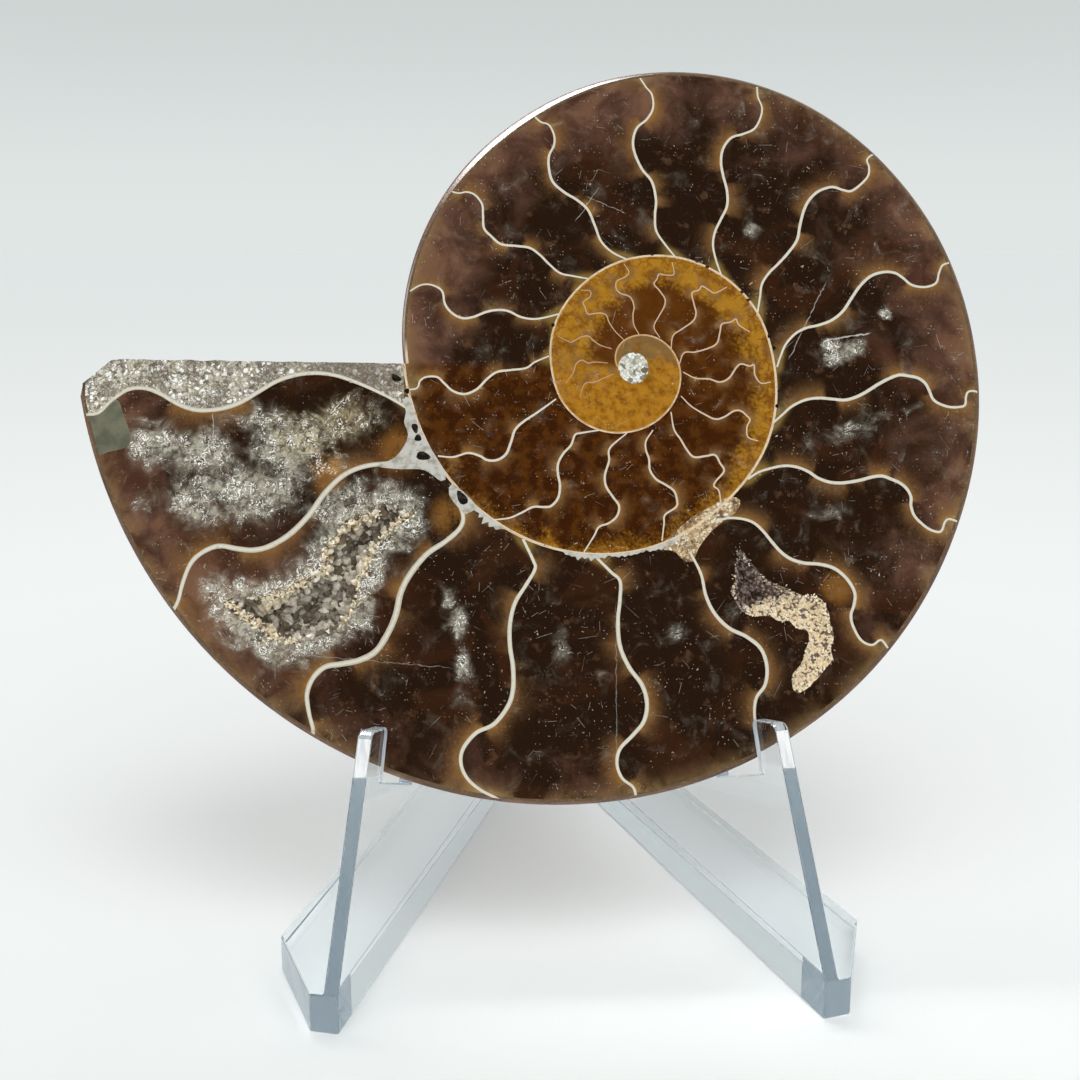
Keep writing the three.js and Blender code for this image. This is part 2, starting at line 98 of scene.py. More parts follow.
# The septa as they run in the photograph, in its pixels, each from the wall out to the rim.
# The number is the width of its line in mm where it is widest.
SEPTA = [
    (0.68, [(430, 468), (411, 463), (395, 463), (366, 466), (344, 475), (325, 493), (309, 515), (290, 534),
        (270, 546), (254, 550), (239, 549), (219, 546), (203, 552), (191, 563), (183, 582), (178, 601),
        (172, 612)]),
    (0.74, [(455, 496), (463, 515), (460, 528), (446, 541), (427, 554), (411, 573), (401, 592), (396, 614),
        (388, 633), (376, 651), (360, 660), (341, 664), (325, 667), (313, 678), (307, 694), (309, 713),
        (313, 729), (312, 737)]),
    (0.54, [(523, 539), (533, 560), (535, 569), (526, 585), (515, 603), (510, 624), (510, 646), (513, 667),
        (513, 689), (508, 706), (494, 724), (476, 733), (463, 749), (461, 764), (467, 778), (479, 789),
        (494, 797), (504, 802)]),
    (0.52, [(597, 558), (611, 572), (620, 581), (620, 599), (618, 621), (620, 646), (629, 667), (642, 685),
        (647, 703), (644, 721), (633, 735), (620, 749), (617, 764), (622, 778), (633, 787), (636, 796)]),
    (0.47, [(690, 552), (701, 574), (706, 596), (715, 614), (729, 628), (747, 637), (761, 649), (767, 667),
        (765, 685), (756, 699), (755, 720), (762, 745)]),
    (0.43, [(716, 521), (729, 518), (743, 519), (754, 523), (763, 531), (772, 542), (781, 552), (791, 559),
        (804, 563), (818, 564), (831, 567), (841, 573), (850, 583), (855, 594), (854, 605), (851, 615),
        (853, 626), (861, 640), (872, 645), (881, 640), (888, 648)]),
    (0.42, [(748, 479), (759, 472), (772, 468), (782, 466), (791, 466), (800, 468), (809, 472), (818, 478),
        (829, 482), (840, 483), (850, 482), (861, 480), (872, 477), (882, 476), (891, 479), (900, 483),
        (907, 489), (911, 497), (911, 506), (914, 515), (920, 522), (929, 529), (938, 532), (942, 530),
        (945, 522), (949, 519), (956, 521), (961, 524)]),
    (0.42, [(773, 423), (782, 415), (791, 407), (800, 402), (809, 399), (820, 398), (832, 399), (845, 400),
        (856, 397), (866, 392), (877, 385), (888, 379), (899, 375), (909, 376), (918, 378), (925, 383),
        (929, 390), (933, 399), (940, 404), (950, 407), (959, 407), (965, 405), (966, 397), (968, 392),
        (974, 391), (982, 394)]),
    (0.38, [(777, 367), (781, 355), (786, 344), (795, 334), (806, 328), (819, 325), (832, 320), (843, 311),
        (851, 299), (860, 286), (871, 276), (884, 272), (895, 273), (903, 278), (912, 285), (925, 287),
        (936, 283), (939, 273), (943, 265), (953, 262)]),
    (0.37, [(757, 316), (760, 297), (762, 284), (769, 273), (778, 264), (788, 253), (797, 240), (800, 225),
        (804, 210), (810, 199), (819, 191), (832, 187), (843, 190), (851, 191), (860, 185), (868, 176),
        (869, 167), (867, 160), (872, 155), (880, 154)]),
    (0.34, [(722, 277), (716, 260), (713, 245), (715, 232), (721, 219), (727, 206), (727, 191), (723, 175),
        (721, 162), (723, 149), (731, 138), (743, 134), (754, 129), (760, 119), (762, 108), (758, 97),
        (757, 87)]),
    (0.34, [(677, 259), (664, 243), (656, 230), (655, 215), (656, 200), (652, 182), (642, 169), (635, 154),
        (633, 141), (637, 128), (647, 119), (653, 108), (652, 95), (646, 87), (640, 78)]),
    (0.34, [(628, 260), (612, 252), (601, 241), (595, 226), (588, 210), (577, 200), (564, 192), (553, 182),
        (549, 169), (549, 156), (554, 145), (554, 135), (549, 125), (541, 122), (535, 117)]),
    (0.31, [(590, 279), (573, 276), (560, 273), (549, 264), (540, 255), (530, 248), (517, 246), (501, 244),
        (491, 236), (484, 228), (483, 215), (482, 204), (475, 195), (467, 192), (458, 193), (447, 190)]),
    (0.31, [(562, 313), (547, 317), (534, 319), (521, 317), (508, 311), (497, 310), (486, 312), (473, 317),
        (462, 318), (452, 313), (445, 304), (442, 291), (432, 285), (421, 285), (410, 291)]),
    (0.3, [(549, 356), (535, 362), (526, 368), (511, 370), (497, 372), (487, 379), (477, 389), (465, 394),
        (453, 391), (444, 383), (437, 377), (426, 377), (420, 381), (417, 388), (407, 390)]),
    (0.32, [(556, 399), (545, 407), (535, 414), (523, 422), (515, 430), (511, 442), (506, 454), (497, 460),
        (487, 460), (480, 456), (468, 453), (453, 457), (438, 456)]),
    (0.3, [(600, 430), (581, 433), (575, 435), (571, 445), (563, 454), (558, 464), (558, 474), (560, 486),
        (558, 498), (551, 506), (543, 507), (533, 507), (521, 513), (509, 518), (492, 520)]),
    (0.28, [(627, 433), (610, 448), (609, 461), (605, 475), (606, 486), (613, 497), (619, 506), (617, 516),
        (609, 523), (599, 527), (594, 536), (584, 552)]),
    (0.27, [(653, 430), (646, 441), (646, 450), (649, 459), (650, 470), (656, 479), (666, 485), (674, 491),
        (677, 500), (676, 507), (665, 515), (664, 524), (662, 541)]),
    (0.26, [(671, 412), (674, 429), (681, 440), (687, 450), (694, 457), (706, 456), (715, 455), (720, 463),
        (724, 471), (716, 481), (714, 486), (719, 491), (721, 505)]),
    (0.22, [(681, 396), (691, 406), (704, 414), (715, 419), (724, 417), (734, 411), (741, 411), (747, 416),
        (750, 420), (747, 427), (748, 437), (758, 441)]),
    (0.22, [(683, 372), (695, 378), (709, 379), (720, 382), (729, 378), (736, 368), (741, 364), (750, 366),
        (754, 365), (755, 375), (761, 383), (771, 382)]),
    (0.2, [(679, 365), (684, 353), (695, 352), (709, 348), (717, 343), (720, 332), (722, 324), (731, 322),
        (736, 319), (739, 325), (750, 332)]),
    (0.2, [(671, 350), (673, 336), (682, 329), (693, 321), (696, 313), (694, 304), (692, 293), (699, 290),
        (702, 286), (709, 290), (715, 293), (727, 287)]),
    (0.18, [(660, 338), (654, 327), (659, 316), (664, 307), (665, 299), (659, 290), (654, 284), (657, 279),
        (659, 274), (666, 275), (674, 274), (672, 262)]),
    (0.17, [(640, 336), (634, 325), (633, 315), (634, 306), (630, 297), (620, 293), (616, 288), (617, 281),
        (625, 277), (629, 272), (624, 264)]),
    (0.16, [(624, 340), (615, 331), (609, 322), (606, 315), (599, 313), (588, 314), (585, 307), (583, 302),
        (590, 297), (590, 291), (581, 290)]),
    (0.15, [(612, 349), (600, 345), (593, 340), (588, 336), (581, 337), (572, 342), (568, 341), (559, 337)]),
    (0.15, [(608, 363), (595, 362), (588, 363), (582, 360), (576, 364), (574, 371), (572, 375), (566, 383)]),
    (0.15, [(614, 374), (604, 378), (595, 382), (586, 383), (582, 389), (580, 398)]),
]

# The first, thick septum, which holds back the grit that filled the body chamber
MOUTH_SEPTUM = (0.55, [
    (74, 421), (84, 415), (98, 413), (111, 401), (127, 390), (143, 388), (159, 393), (178, 404),
    (197, 410), (219, 409), (239, 403), (258, 392), (277, 381), (296, 375), (315, 373), (334, 375),
    (353, 381), (372, 389), (392, 399), (412, 411),
])

# Patches on the face, in the photograph's pixels
GRIT_CORNERS = [(404, 404), (404, 350), (60, 350), (60, 425)]
MUD_PATCH = [(78, 419), (98, 413), (116, 399), (124, 416), (131, 438), (124, 448), (108, 452),
             (95, 455), (84, 440)]
PALE_JUNCTION = [(403, 400), (406, 412), (404, 422), (408, 434), (404, 446), (394, 458), (378, 466),
                 (398, 469), (424, 470), (441, 481), (446, 474), (432, 450), (418, 424), (410, 398)]
SPUR_JUNCTION = [(452, 484), (449, 494), (457, 506), (466, 514), (474, 510), (482, 515), (470, 498)]
CREAM_CRUMBS = [(660, 548), (676, 531), (694, 516), (712, 506), (728, 497), (740, 500), (736, 512),
                (722, 522), (711, 532), (700, 546), (692, 562), (682, 559), (674, 551)]
# Splinters along the second whorl's wall: the turns they start and end at, their depth in mm and a seed
WALL_TEETH = [(403, 412, 1.1, 1), (428, 441, 0.85, 2), (441, 452, 0.45, 3), (452, 463, 0.8, 4)]
# Dark round bubbles along the walls: centre, half-lengths in pixels and slant in degrees
DARK_BUBBLES = [
    (396, 378, 6, 4, -30), (415, 428, 3.5, 6, 15), (418, 438, 4, 4, 0), (423, 456, 8, 5, -10),
    (462, 498, 5, 9, 30), (407, 391, 3, 3, 0), (603, 265, 2.5, 2, 0), (570, 293, 2.5, 2, 0),
    (652, 254, 2.5, 2, 0), (697, 261, 2.5, 2, 0), (707, 267, 2.5, 2, 0), (742, 292, 2.5, 2, 0),
    (748, 300, 2.5, 2, 0), (769, 336, 2, 2.5, 0), (774, 348, 2, 2.5, 0), (779, 392, 2, 3, 0),
    (777, 406, 2, 2.5, 0), (553, 325, 2, 2.5, 0), (547, 337, 2, 2.5, 0),
]
# The round chamber in the middle of the spiral, in the same measures
FIRST_CHAMBER = (633.5, 368, 17.5, 18.5, 0)
# Where clear calcite turns to white frosty crystals: centre, half-lengths in pixels, slant and strength
FROST_PATCHES = [
    (152, 445, 36, 30, -20, 0.85), (205, 452, 42, 30, 0, 0.95), (200, 500, 62, 34, -12, 0.75),
    (250, 490, 60, 40, 0, 0.9), (290, 450, 56, 40, 20, 0.95), (345, 420, 56, 28, 8, 0.85),
    (262, 425, 50, 24, 10, 0.6), (326, 466, 26, 20, 20, 0.85), (150, 500, 26, 26, 0, 0.5),
    (340, 500, 44, 14, 34, 0.8), (214, 592, 24, 26, 0, 0.85), (262, 648, 56, 15, -24, 0.9),
    (458, 620, 10, 30, 4, 0.9), (463, 665, 9, 28, -6, 0.8), (448, 600, 8, 12, 0, 0.6),
    (562, 646, 12, 26, 8, 0.5), (676, 632, 14, 14, 20, 0.6), (708, 640, 10, 8, 0, 0.4),
    (848, 432, 46, 12, 14, 0.55), (880, 420, 22, 10, 20, 0.4), (826, 513, 40, 12, -4, 0.45),
    (796, 500, 16, 9, 0, 0.3), (848, 352, 30, 12, 22, 1.0), (832, 345, 16, 9, 0, 0.9),
    (884, 315, 9, 8, 0, 0.9), (751, 230, 12, 11, 0, 0.7), (748, 152, 8, 7, 0, 0.4),
    (602, 186, 18, 12, 30, 0.35), (528, 200, 16, 10, 0, 0.3), (566, 262, 18, 9, 10, 0.25),
    (700, 130, 30, 14, 0, 0.2), (480, 350, 14, 9, 0, 0.2),
]

# The two open hollows, as they run in the photograph
LEFT_HOLLOW = [
    (376, 511), (384, 504), (395, 504), (404, 509), (410, 516), (398, 527), (386, 537), (377, 546),
    (370, 563), (361, 580), (358, 593), (354, 610), (344, 624), (324, 634), (308, 640), (296, 644),
    (282, 642), (269, 638), (245, 622), (224, 606), (229, 599), (240, 597), (259, 597), (281, 592),
    (297, 583), (309, 575), (322, 568), (322, 559), (328, 545), (338, 533), (343, 522), (356, 516),
]
RIGHT_HOLLOW = [
    (740, 549), (735, 567), (735, 580), (731, 591), (736, 602), (743, 612), (753, 616), (770, 616),
    (778, 621), (789, 621), (796, 628), (807, 631), (809, 639), (805, 652), (801, 664), (792, 676),
    (794, 691), (801, 692), (808, 688), (819, 677), (827, 667), (833, 659), (831, 649), (834, 637),
    (831, 625), (829, 613), (826, 606), (823, 601), (816, 596), (806, 596), (797, 593), (786, 588),
    (776, 584), (765, 578), (757, 569), (749, 560), (744, 552),
]
# How deep their crystals reach, in mm
LEFT_DEPTH = 5.6
RIGHT_DEPTH = 4.2
# The spacing of the points along their edges, in mm
LEFT_STEP = 0.5
RIGHT_STEP = 0.45


def face_point(px, py):
    """The place on the face, in mm from the spiral's centre, that a pixel of the photograph shows."""
    half = PHOTO_SIZE / 2
    ray = CAMERA_RIGHT * (px - half) - CAMERA_UP * (py - half) - CAMERA_BACK * FOCAL_PIXELS
    reach = (SPIRAL_CENTRE - CAMERA_EYE).dot(FACE_OUT) / ray.dot(FACE_OUT)
    spot = CAMERA_EYE + ray * reach - SPIRAL_CENTRE
    return np.array((spot.dot(FACE_RIGHT), spot.dot(FACE_UP))) / MM


def in_frame(points):
    """Points (x, y, height over the face) in mm on the fossil, in metres in the frame."""
    axes = np.array((FACE_RIGHT, FACE_UP, FACE_OUT))
    return np.asarray(points, float) @ axes * MM + np.array(SPIRAL_CENTRE)


def curve_between(a, b, c, d, t):
    """A Catmull-Rom curve at a share t of the way from b to c; a and d are the values on either side."""
    return 0.5 * (2 * b + (c - a) * t + (2 * a - 5 * b + 4 * c - d) * t ** 2
                  + (3 * b - a - 3 * c + d) * t ** 3)


def smooth_line(points, spacing, closed=False):
    """A Catmull-Rom curve through points, as new points about one spacing apart."""
    points = np.asarray(points, float)
    count = len(points)
    if closed:
        padded = np.vstack((points[-1:], points, points[:2]))
    else:
        padded = np.vstack((2 * points[0] - points[1], points, 2 * points[-1] - points[-2]))
    line = []
    for i in range(len(padded) - 3):
        a, b, c, d = padded[i:i + 4]
        steps = max(1, round(np.linalg.norm(c - b) / spacing))
        for k in range(steps):
            line.append(curve_between(a, b, c, d, k / steps))
    if not closed:
        line.append(points[count - 1])
    return np.array(line)


def on_face(pixels, spacing, closed=False):
    """A smooth line on the face through pixels of the photograph."""
    return smooth_line([face_point(*pixel) for pixel in pixels], spacing, closed)


def whorl_radius(turn):
    """The spiral's radius in mm at a turn in degrees from the mouth."""
    turn = min(turn, LAST_TURN)
    if turn <= 0:
        return WHORL_RADII[0] - turn * (WHORL_RADII[0] - WHORL_RADII[1]) / RADIUS_STEP
    last = len(WHORL_RADII) - 1
    i = min(int(turn / RADIUS_STEP), last - 1)
    b, c = WHORL_RADII[i], WHORL_RADII[i + 1]
    a = WHORL_RADII[i - 1] if i > 0 else 2 * b - c
    d = WHORL_RADII[i + 2] if i + 2 <= last else 2 * c - b
    return curve_between(a, b, c, d, turn / RADIUS_STEP - i)


def at_turn(turn, radius):
    """The place on the face at a turn from the mouth and a radius in mm."""
    angle = math.pi + math.radians(turn)
    return radius * math.cos(angle), radius * math.sin(angle)


def find_turn(x, y):
    """The turn of the whorl that a place on the face lies in, and how far out in it, from 0 to 1."""
    radius = math.hypot(x, y)
    turn = (math.degrees(math.atan2(y, x)) + 180) % 360
    if turn > 360 + MOUTH_TURN and radius > whorl_radius(360 + MOUTH_TURN):
        turn -= 360
    while turn + 360 < LAST_TURN and radius < whorl_radius(turn + 360):
        turn += 360
    inner = whorl_radius(turn + 360) if turn + 360 < LAST_TURN else 0
    outer = whorl_radius(turn)
    return turn, (radius - inner) / (outer - inner)


def wobble(x, y, scale, seed):
    """Smooth noise from -1 to 1 over the face; scale is the size of its lumps in mm."""
    return noise.noise(Vector((x / scale, y / scale, seed)))


# The face is a flat drawing of areas, filled with triangles. Later kinds lie over earlier ones.
FACE_KINDS = [
    "chamber", "grit", "mud", "crumbs", "wall", "septum", "pale_junction", "bubble", "centre", "hollow",
]
# The fossil's finishes in the order of its materials: those of the face, then those of its other sides
FOSSIL_FINISHES = FACE_KINDS[:-1] + ["back", "broken_mouth", "cavity"]
# Sizes of the drawing's steps in mm; the rim's are in degrees
FACE_SPACING = 0.8
LINE_SPACING = 0.55
RIM_STEP = 2.0
MERGE_DISTANCE = 1e-5
# The triangulation's choice that keeps only the triangles inside the areas
INSIDE_ONLY = 1
# How far the rim is rounded, how much more where a wide bevel runs, and its middle and half span in degrees
RIM_ROUND = 0.32
WIDE_BEVEL = 0.83
WIDE_BEVEL_TURN = 295
WIDE_BEVEL_SPAN = 38
# How uneven the rim and the broken mouth are, in mm
RIM_WAVES = 0.07
MOUTH_WAVES = 0.16
# The size in mm of one pixel of the photograph on the face
PIXEL = 0.109
WALL_WIDTH = 0.34
SHELL_WIDTH = 0.3
# How thin the wall gets in the middle, as a share of its width
WALL_NARROWING = 0.55
TONE_SEED = 17


class Drawing:
    """Areas drawn on a flat surface, each with its kind, before they are cut into one another."""

    def __init__(self):
        self.spots = []
        self.areas = []
        self.kinds = []

    def add(self, kind, points):
        points = np.asarray(points, float)
        following = np.roll(points, -1, axis=0)
        if np.sum(points[:, 0] * following[:, 1] - following[:, 0] * points[:, 1]) < 0:
            points = points[::-1]
        start = len(self.spots)
        self.spots.extend(Vector(point) for point in points)
        self.areas.append(list(range(start, len(self.spots))))
        self.kinds.append(kind)

    def add_ribbon(self, kind, line, widths):
        """A line with its own width, as one four-sided area on each side of every step of it."""
        ahead = np.gradient(line, axis=0)
        sideways = np.column_stack((-ahead[:, 1], ahead[:, 0]))
        sideways *= (widths / 2 / np.linalg.norm(ahead, axis=1))[:, None]
        for edge in (line + sideways, line - sideways):
            for i in range(len(line) - 1):
                self.add(kind, (line[i], line[i + 1], edge[i + 1], edge[i]))

    def fill(self, loose_spots):
        """Triangles over all the areas: their corners, and for each triangle the areas it lies in."""
        spots = self.spots + [Vector(spot) for spot in loose_spots]
        result = delaunay_2d_cdt(spots, [], self.areas, INSIDE_ONLY, MERGE_DISTANCE)
        corners, triangles, inside = result[0], result[2], result[5]
        return np.array([tuple(corner) for corner in corners]), triangles, inside


def honeycomb(outline, spacing, seed):
    """Evenly scattered places inside the box of an outline."""
    low, high = outline.min(axis=0), outline.max(axis=0)
    random = np.random.default_rng(seed)
    rows = np.arange(low[1], high[1], spacing * math.sqrt(3) / 2)
    spots = []
    for i, y in enumerate(rows):
        for x in np.arange(low[0] + spacing / 2 * (i % 2), high[0], spacing):
            spots.append((x, y))
    return np.array(spots) + random.uniform(-0.12, 0.12, (len(spots), 2)) * spacing


def is_inside(spots, outline):
    """For each spot, whether it is inside a closed outline."""
    x, y = spots[:, 0], spots[:, 1]
    inside = np.zeros(len(spots), bool)
    for (x1, y1), (x2, y2) in zip(outline, np.roll(outline, -1, axis=0)):
        if y1 == y2:
            continue
        crossing = (y1 > y) != (y2 > y)
        inside ^= crossing & (x < x1 + (x2 - x1) * (y - y1) / (y2 - y1))
    return inside


def distance_to(spots, line, closed=False):
    """For each spot, its distance from a line of short steps."""
    ends = np.roll(line, -1, axis=0) if closed else line[1:]
    starts = line if closed else line[:-1]
    nearest = np.full(len(spots), np.inf)
    for a, b in zip(starts, ends):
        step = b - a
        along = np.clip((spots - a) @ step / max(step @ step, 1e-12), 0, 1)
        nearest = np.minimum(nearest, np.linalg.norm(spots - a - along[:, None] * step, axis=1))
    return nearest


def rim_round(turn):
    """How far the polished edge is rounded off; a wider bevel runs along the upper left."""
    off = min(1, abs(turn - WIDE_BEVEL_TURN) / WIDE_BEVEL_SPAN)
    return RIM_ROUND + WIDE_BEVEL * (1 - off ** 2) ** 2


def rim_turns():
    return np.arange(MOUTH_TURN, 360 + MOUTH_TURN + 0.01, RIM_STEP)


def rim_outline():
    """The edge of the face: round the rim from the mouth inwards, then back along the broken mouth."""
    rim = []
    for turn in rim_turns():
        uneven = RIM_WAVES * wobble(turn, 0, 3, 5)
        rim.append(at_turn(turn, whorl_radius(turn) - rim_round(turn) + uneven))
    inner, outer = np.array(rim[-1]), np.array(rim[0])
    steps = round(np.linalg.norm(outer - inner) / FACE_SPACING)
    broken = []
    for i in range(1, steps):
        uneven = np.array((0, MOUTH_WAVES * wobble(i, 0, 2.3, 8)))
        broken.append(inner + (outer - inner) * i / steps + uneven)
    return np.array(rim + broken)


def line_widths(count, widest, seed):
    """Widths along a septum: thin where it leaves the wall, widest half way, thin at the rim."""
    shares = np.linspace(0, 1, count)
    swell = 0.62 + 0.38 * np.sin(math.pi * np.clip(shares * 1.12 - 0.04, 0, 1)) ** 0.8
    rough = np.array([1 + 0.1 * wobble(i, 0, 2.5, seed) for i in range(count)])
    return widest * swell * rough


def ellipse(px, py, across, up, slant, sides=12, uneven=0.12):
    """An uneven oval round a pixel of the photograph; its half-lengths are in pixels."""
    centre = face_point(px, py)
    angles = np.arange(sides) * 2 * math.pi / sides
    x, y = across * PIXEL * np.cos(angles), up * PIXEL * np.sin(angles)
    tilt = math.radians(slant)
    swell = 1 + uneven * np.sin(angles * 3 + px)
    return centre + np.column_stack((x * math.cos(tilt) - y * math.sin(tilt),
                                     x * math.sin(tilt) + y * math.cos(tilt))) * swell[:, None]


def ragged_teeth(first, last, depth, seed):
    """White splinters of shell that hang off the outside of the wall between two turns."""
    random = np.random.default_rng(seed)
    turns = np.arange(first, last, 0.9)
    shares = np.linspace(0, math.pi, len(turns))
    depths = depth * np.sin(shares) ** 0.5 * np.where(np.arange(len(turns)) % 2 > 0, 1, 0.45)
    depths *= random.uniform(0.55, 1.1, len(turns))
    outer = [at_turn(turn, whorl_radius(turn) + WALL_WIDTH / 2 + out) for turn, out in zip(turns, depths)]
    inner = [at_turn(turn, whorl_radius(turn)) for turn in turns]
    return np.array(outer + inner[::-1])


def septum_lines():
    """Each septum's width and its line on the face; the thick one at the mouth is the last."""
    lines = [(width, on_face(pixels, LINE_SPACING * max(0.35, min(1, width)))) for width, pixels in SEPTA]
    return lines + [(MOUTH_SEPTUM[0], on_face(MOUTH_SEPTUM[1], LINE_SPACING))]


def spiral_line(first, last, step):
    """The spiral between two turns, as points on the face."""
    return np.array([at_turn(turn, whorl_radius(turn)) for turn in np.arange(first, last + 0.01, step)])


def chamber_numbers(triangles, blocked, seed):
    """One random tone for each group of triangles that touch one another without crossing a line."""
    edges = {}
    for i, triangle in enumerate(triangles):
        for a, b in zip(triangle, triangle[1:] + triangle[:1]):
            edges.setdefault((min(a, b), max(a, b)), []).append(i)
    neighbours = [[] for _ in triangles]
    for pair in edges.values():
        if len(pair) == 2 and not blocked[pair[0]] and not blocked[pair[1]]:
            neighbours[pair[0]].append(pair[1])
            neighbours[pair[1]].append(pair[0])
    random = np.random.default_rng(seed)
    tones = np.full(len(triangles), -1.0)
    for start in range(len(triangles)):
        if tones[start] >= 0:
            continue
        tones[start] = random.uniform()
        waiting = [start]
        while waiting:
            for i in neighbours[waiting.pop()]:
                if tones[i] < 0:
                    tones[i] = tones[start]
                    waiting.append(i)
    return tones


def draw_face(lines, hollows):
    """The whole cut face as triangles: their corners, the triangles, and the kind of each."""
    drawing = Drawing()
    outline = rim_outline()
    drawing.add("chamber", outline)
    grit = [face_point(*corner) for corner in GRIT_CORNERS]
    mouth_septum = lines[-1][1]
    drawing.add("grit", np.vstack((mouth_septum, grit)))
    drawing.add("mud", on_face(MUD_PATCH, LINE_SPACING, True))
    drawing.add("crumbs", on_face(CREAM_CRUMBS, LINE_SPACING, True))
    for pixels in (PALE_JUNCTION, SPUR_JUNCTION):
        drawing.add("pale_junction", on_face(pixels, LINE_SPACING, True))
    shell = []
    for turn in rim_turns():
        shell.append(at_turn(turn, whorl_radius(turn) - rim_round(turn) - SHELL_WIDTH / 2))
    drawing.add_ribbon("wall", np.array(shell), np.full(len(shell), SHELL_WIDTH))
    wall = spiral_line(360 + MOUTH_TURN, LAST_TURN, 3)
    narrowing = np.linspace(1, WALL_NARROWING, len(wall))
    drawing.add_ribbon("wall", wall, WALL_WIDTH * narrowing)
    for i, (width, line) in enumerate(lines):
        drawing.add_ribbon("septum", line, line_widths(len(line), width, i))
    for first, last, depth, seed in WALL_TEETH:
        drawing.add("pale_junction", ragged_teeth(first, last, depth, seed))
    for bubble in DARK_BUBBLES:
        drawing.add("bubble", ellipse(*bubble))
    drawing.add("centre", ellipse(*FIRST_CHAMBER, sides=24, uneven=0.015))
    for hollow in hollows:
        drawing.add("hollow", hollow)
    spots = honeycomb(outline, FACE_SPACING, 3)
    corners, triangles, inside = drawing.fill(spots[is_inside(spots, outline)])
    order = [FACE_KINDS.index(kind) for kind in drawing.kinds]
    kinds = [max(order[area] for area in areas) if 0 in areas else -1 for areas in inside]
    kept = [i for i, kind in enumerate(kinds) if 0 <= kind < FACE_KINDS.index("hollow")]
    return corners, [list(triangles[i]) for i in kept], np.array([kinds[i] for i in kept])


def edge_loops(triangles):
    """The closed loops of edges that only one triangle has, longest first, in the triangles' direction."""
    edges = {}
    for triangle in triangles:
        for a, b in zip(triangle, triangle[1:] + triangle[:1]):
            edges[(a, b)] = True
    ahead = {a: b for a, b in edges if (b, a) not in edges}
    loops = []
    while ahead:
        start = next(iter(ahead))
        loop = [start]
        while ahead[loop[-1]] != start:
            loop.append(ahead.pop(loop[-1]))
        ahead.pop(loop[-1])
        loops.append(loop)
    return sorted(loops, key=len, reverse=True)


# The hidden back of the shell, rounded from its rim to a low hollow in the middle
FULL_THICKNESS = 11.2
GROWTH_RADIUS = 42
MIDDLE_THICKNESS = 1.6
FLANK_CREST = 0.62
FLANK_POWER = 2.3
SHOULDER_SHARE = 0.37
SHOULDER_HEIGHT = 0.9
UMBILICUS_SHARE = 0.3
SEAM_HEIGHT = 0.5
RIB_HEIGHT = 0.13
RIBS_PER_TURN = 18
# Rows of faces over the back, outside and inside the radius where all its sections meet one another
INNER_RADIUS = 20.0
OUTER_ROWS = 30
INNER_ROWS = 20
SHARP_ANGLE = math.radians(24)
# Where the broken mouth ends on the rim: how many corners at the mouth's outer end may lie before it,
# the turn after which its inner end is, and how near to the spiral the rim's corners are, in mm
MOUTH_CORNERS = 9
LATE_TURN = 350
RIM_TOLERANCE = 0.6
# The polished edge's section, in from the rim and down, as shares of how far it is rounded
BEVEL_SECTION = [(0.97, 0.015), (0.93, 0.04), (0.34, 0.38), (0.28, 0.43), (0.04, 0.66), (0, 0.78)]
# The plane of the chip at the mouth's outer corner, and how far left its cut starts
CHIP_PLACE = np.array((-66.5, -0.6))
CHIP_OUT = np.array((-0.656, 0.755))
CHIP_LEFT = -60
# Facets of the broken mouth: their size, the room left at its edge, and how rough it is, in mm
FACET_SIZE = 0.9
FACET_ROOM = 0.4
MOUTH_ROUGHNESS = 0.35
# The hollows' walls behind the crystals, in mm: how much deeper they go, how wide they slope and their faces
CAVITY_MARGIN = 1.6
LEFT_SLOPE = 1.5
RIGHT_SLOPE = 1.4
CAVITY_POWER = 0.5
CAVITY_SPACING = 0.9
# The distance in mm that stands for far from every line
FAR = 9.0


def flank_height(share):
    """Height of one whorl's flank, as a share of its thickness, at a share of its radius."""
    if share >= FLANK_CREST:
        outward = (share - FLANK_CREST) / (1 - FLANK_CREST)
        return max(0, 1 - outward ** FLANK_POWER) ** (1 / FLANK_POWER)
    if share >= SHOULDER_SHARE:
        inward = (FLANK_CREST - share) / (FLANK_CREST - SHOULDER_SHARE)
        return 1 - (1 - SHOULDER_HEIGHT) * inward ** 2
    down = (SHOULDER_SHARE - share) / (SHOULDER_SHARE - UMBILICUS_SHARE)
    return SHOULDER_HEIGHT - (SHOULDER_HEIGHT - SEAM_HEIGHT) * down ** 0.8


def back_depth(turn, radius):
    """How far the shell's back is from the cut face, over all the whorls that cover a place."""
    deepest = 0
    while turn < LAST_TURN:
        outer = whorl_radius(turn)
        thickness = FULL_THICKNESS * math.tanh(outer / GROWTH_RADIUS)
        share = radius / outer
        if UMBILICUS_SHARE <= share <= 1:
            deepest = max(deepest, thickness * flank_height(share))
        elif share < UMBILICUS_SHARE:
            seam = thickness * SEAM_HEIGHT
            deepest = max(deepest, MIDDLE_THICKNESS + (seam - MIDDLE_THICKNESS) * share / UMBILICUS_SHARE)
        turn += 360
    return deepest


def rib(turn, radius):
    """Low growth ribs that sweep forward as they cross the flank."""
    share = radius / whorl_radius(turn)
    sweep = 16 * share ** 2 + 5 * math.sin(share * 7)
    fade = min(1, (1 - share) * 9) * min(1, share * 2)
    waves = math.sin(math.radians((turn + sweep) * RIBS_PER_TURN)) + 0.6 * wobble(turn, radius, 7, 2)
    return RIB_HEIGHT * fade * waves


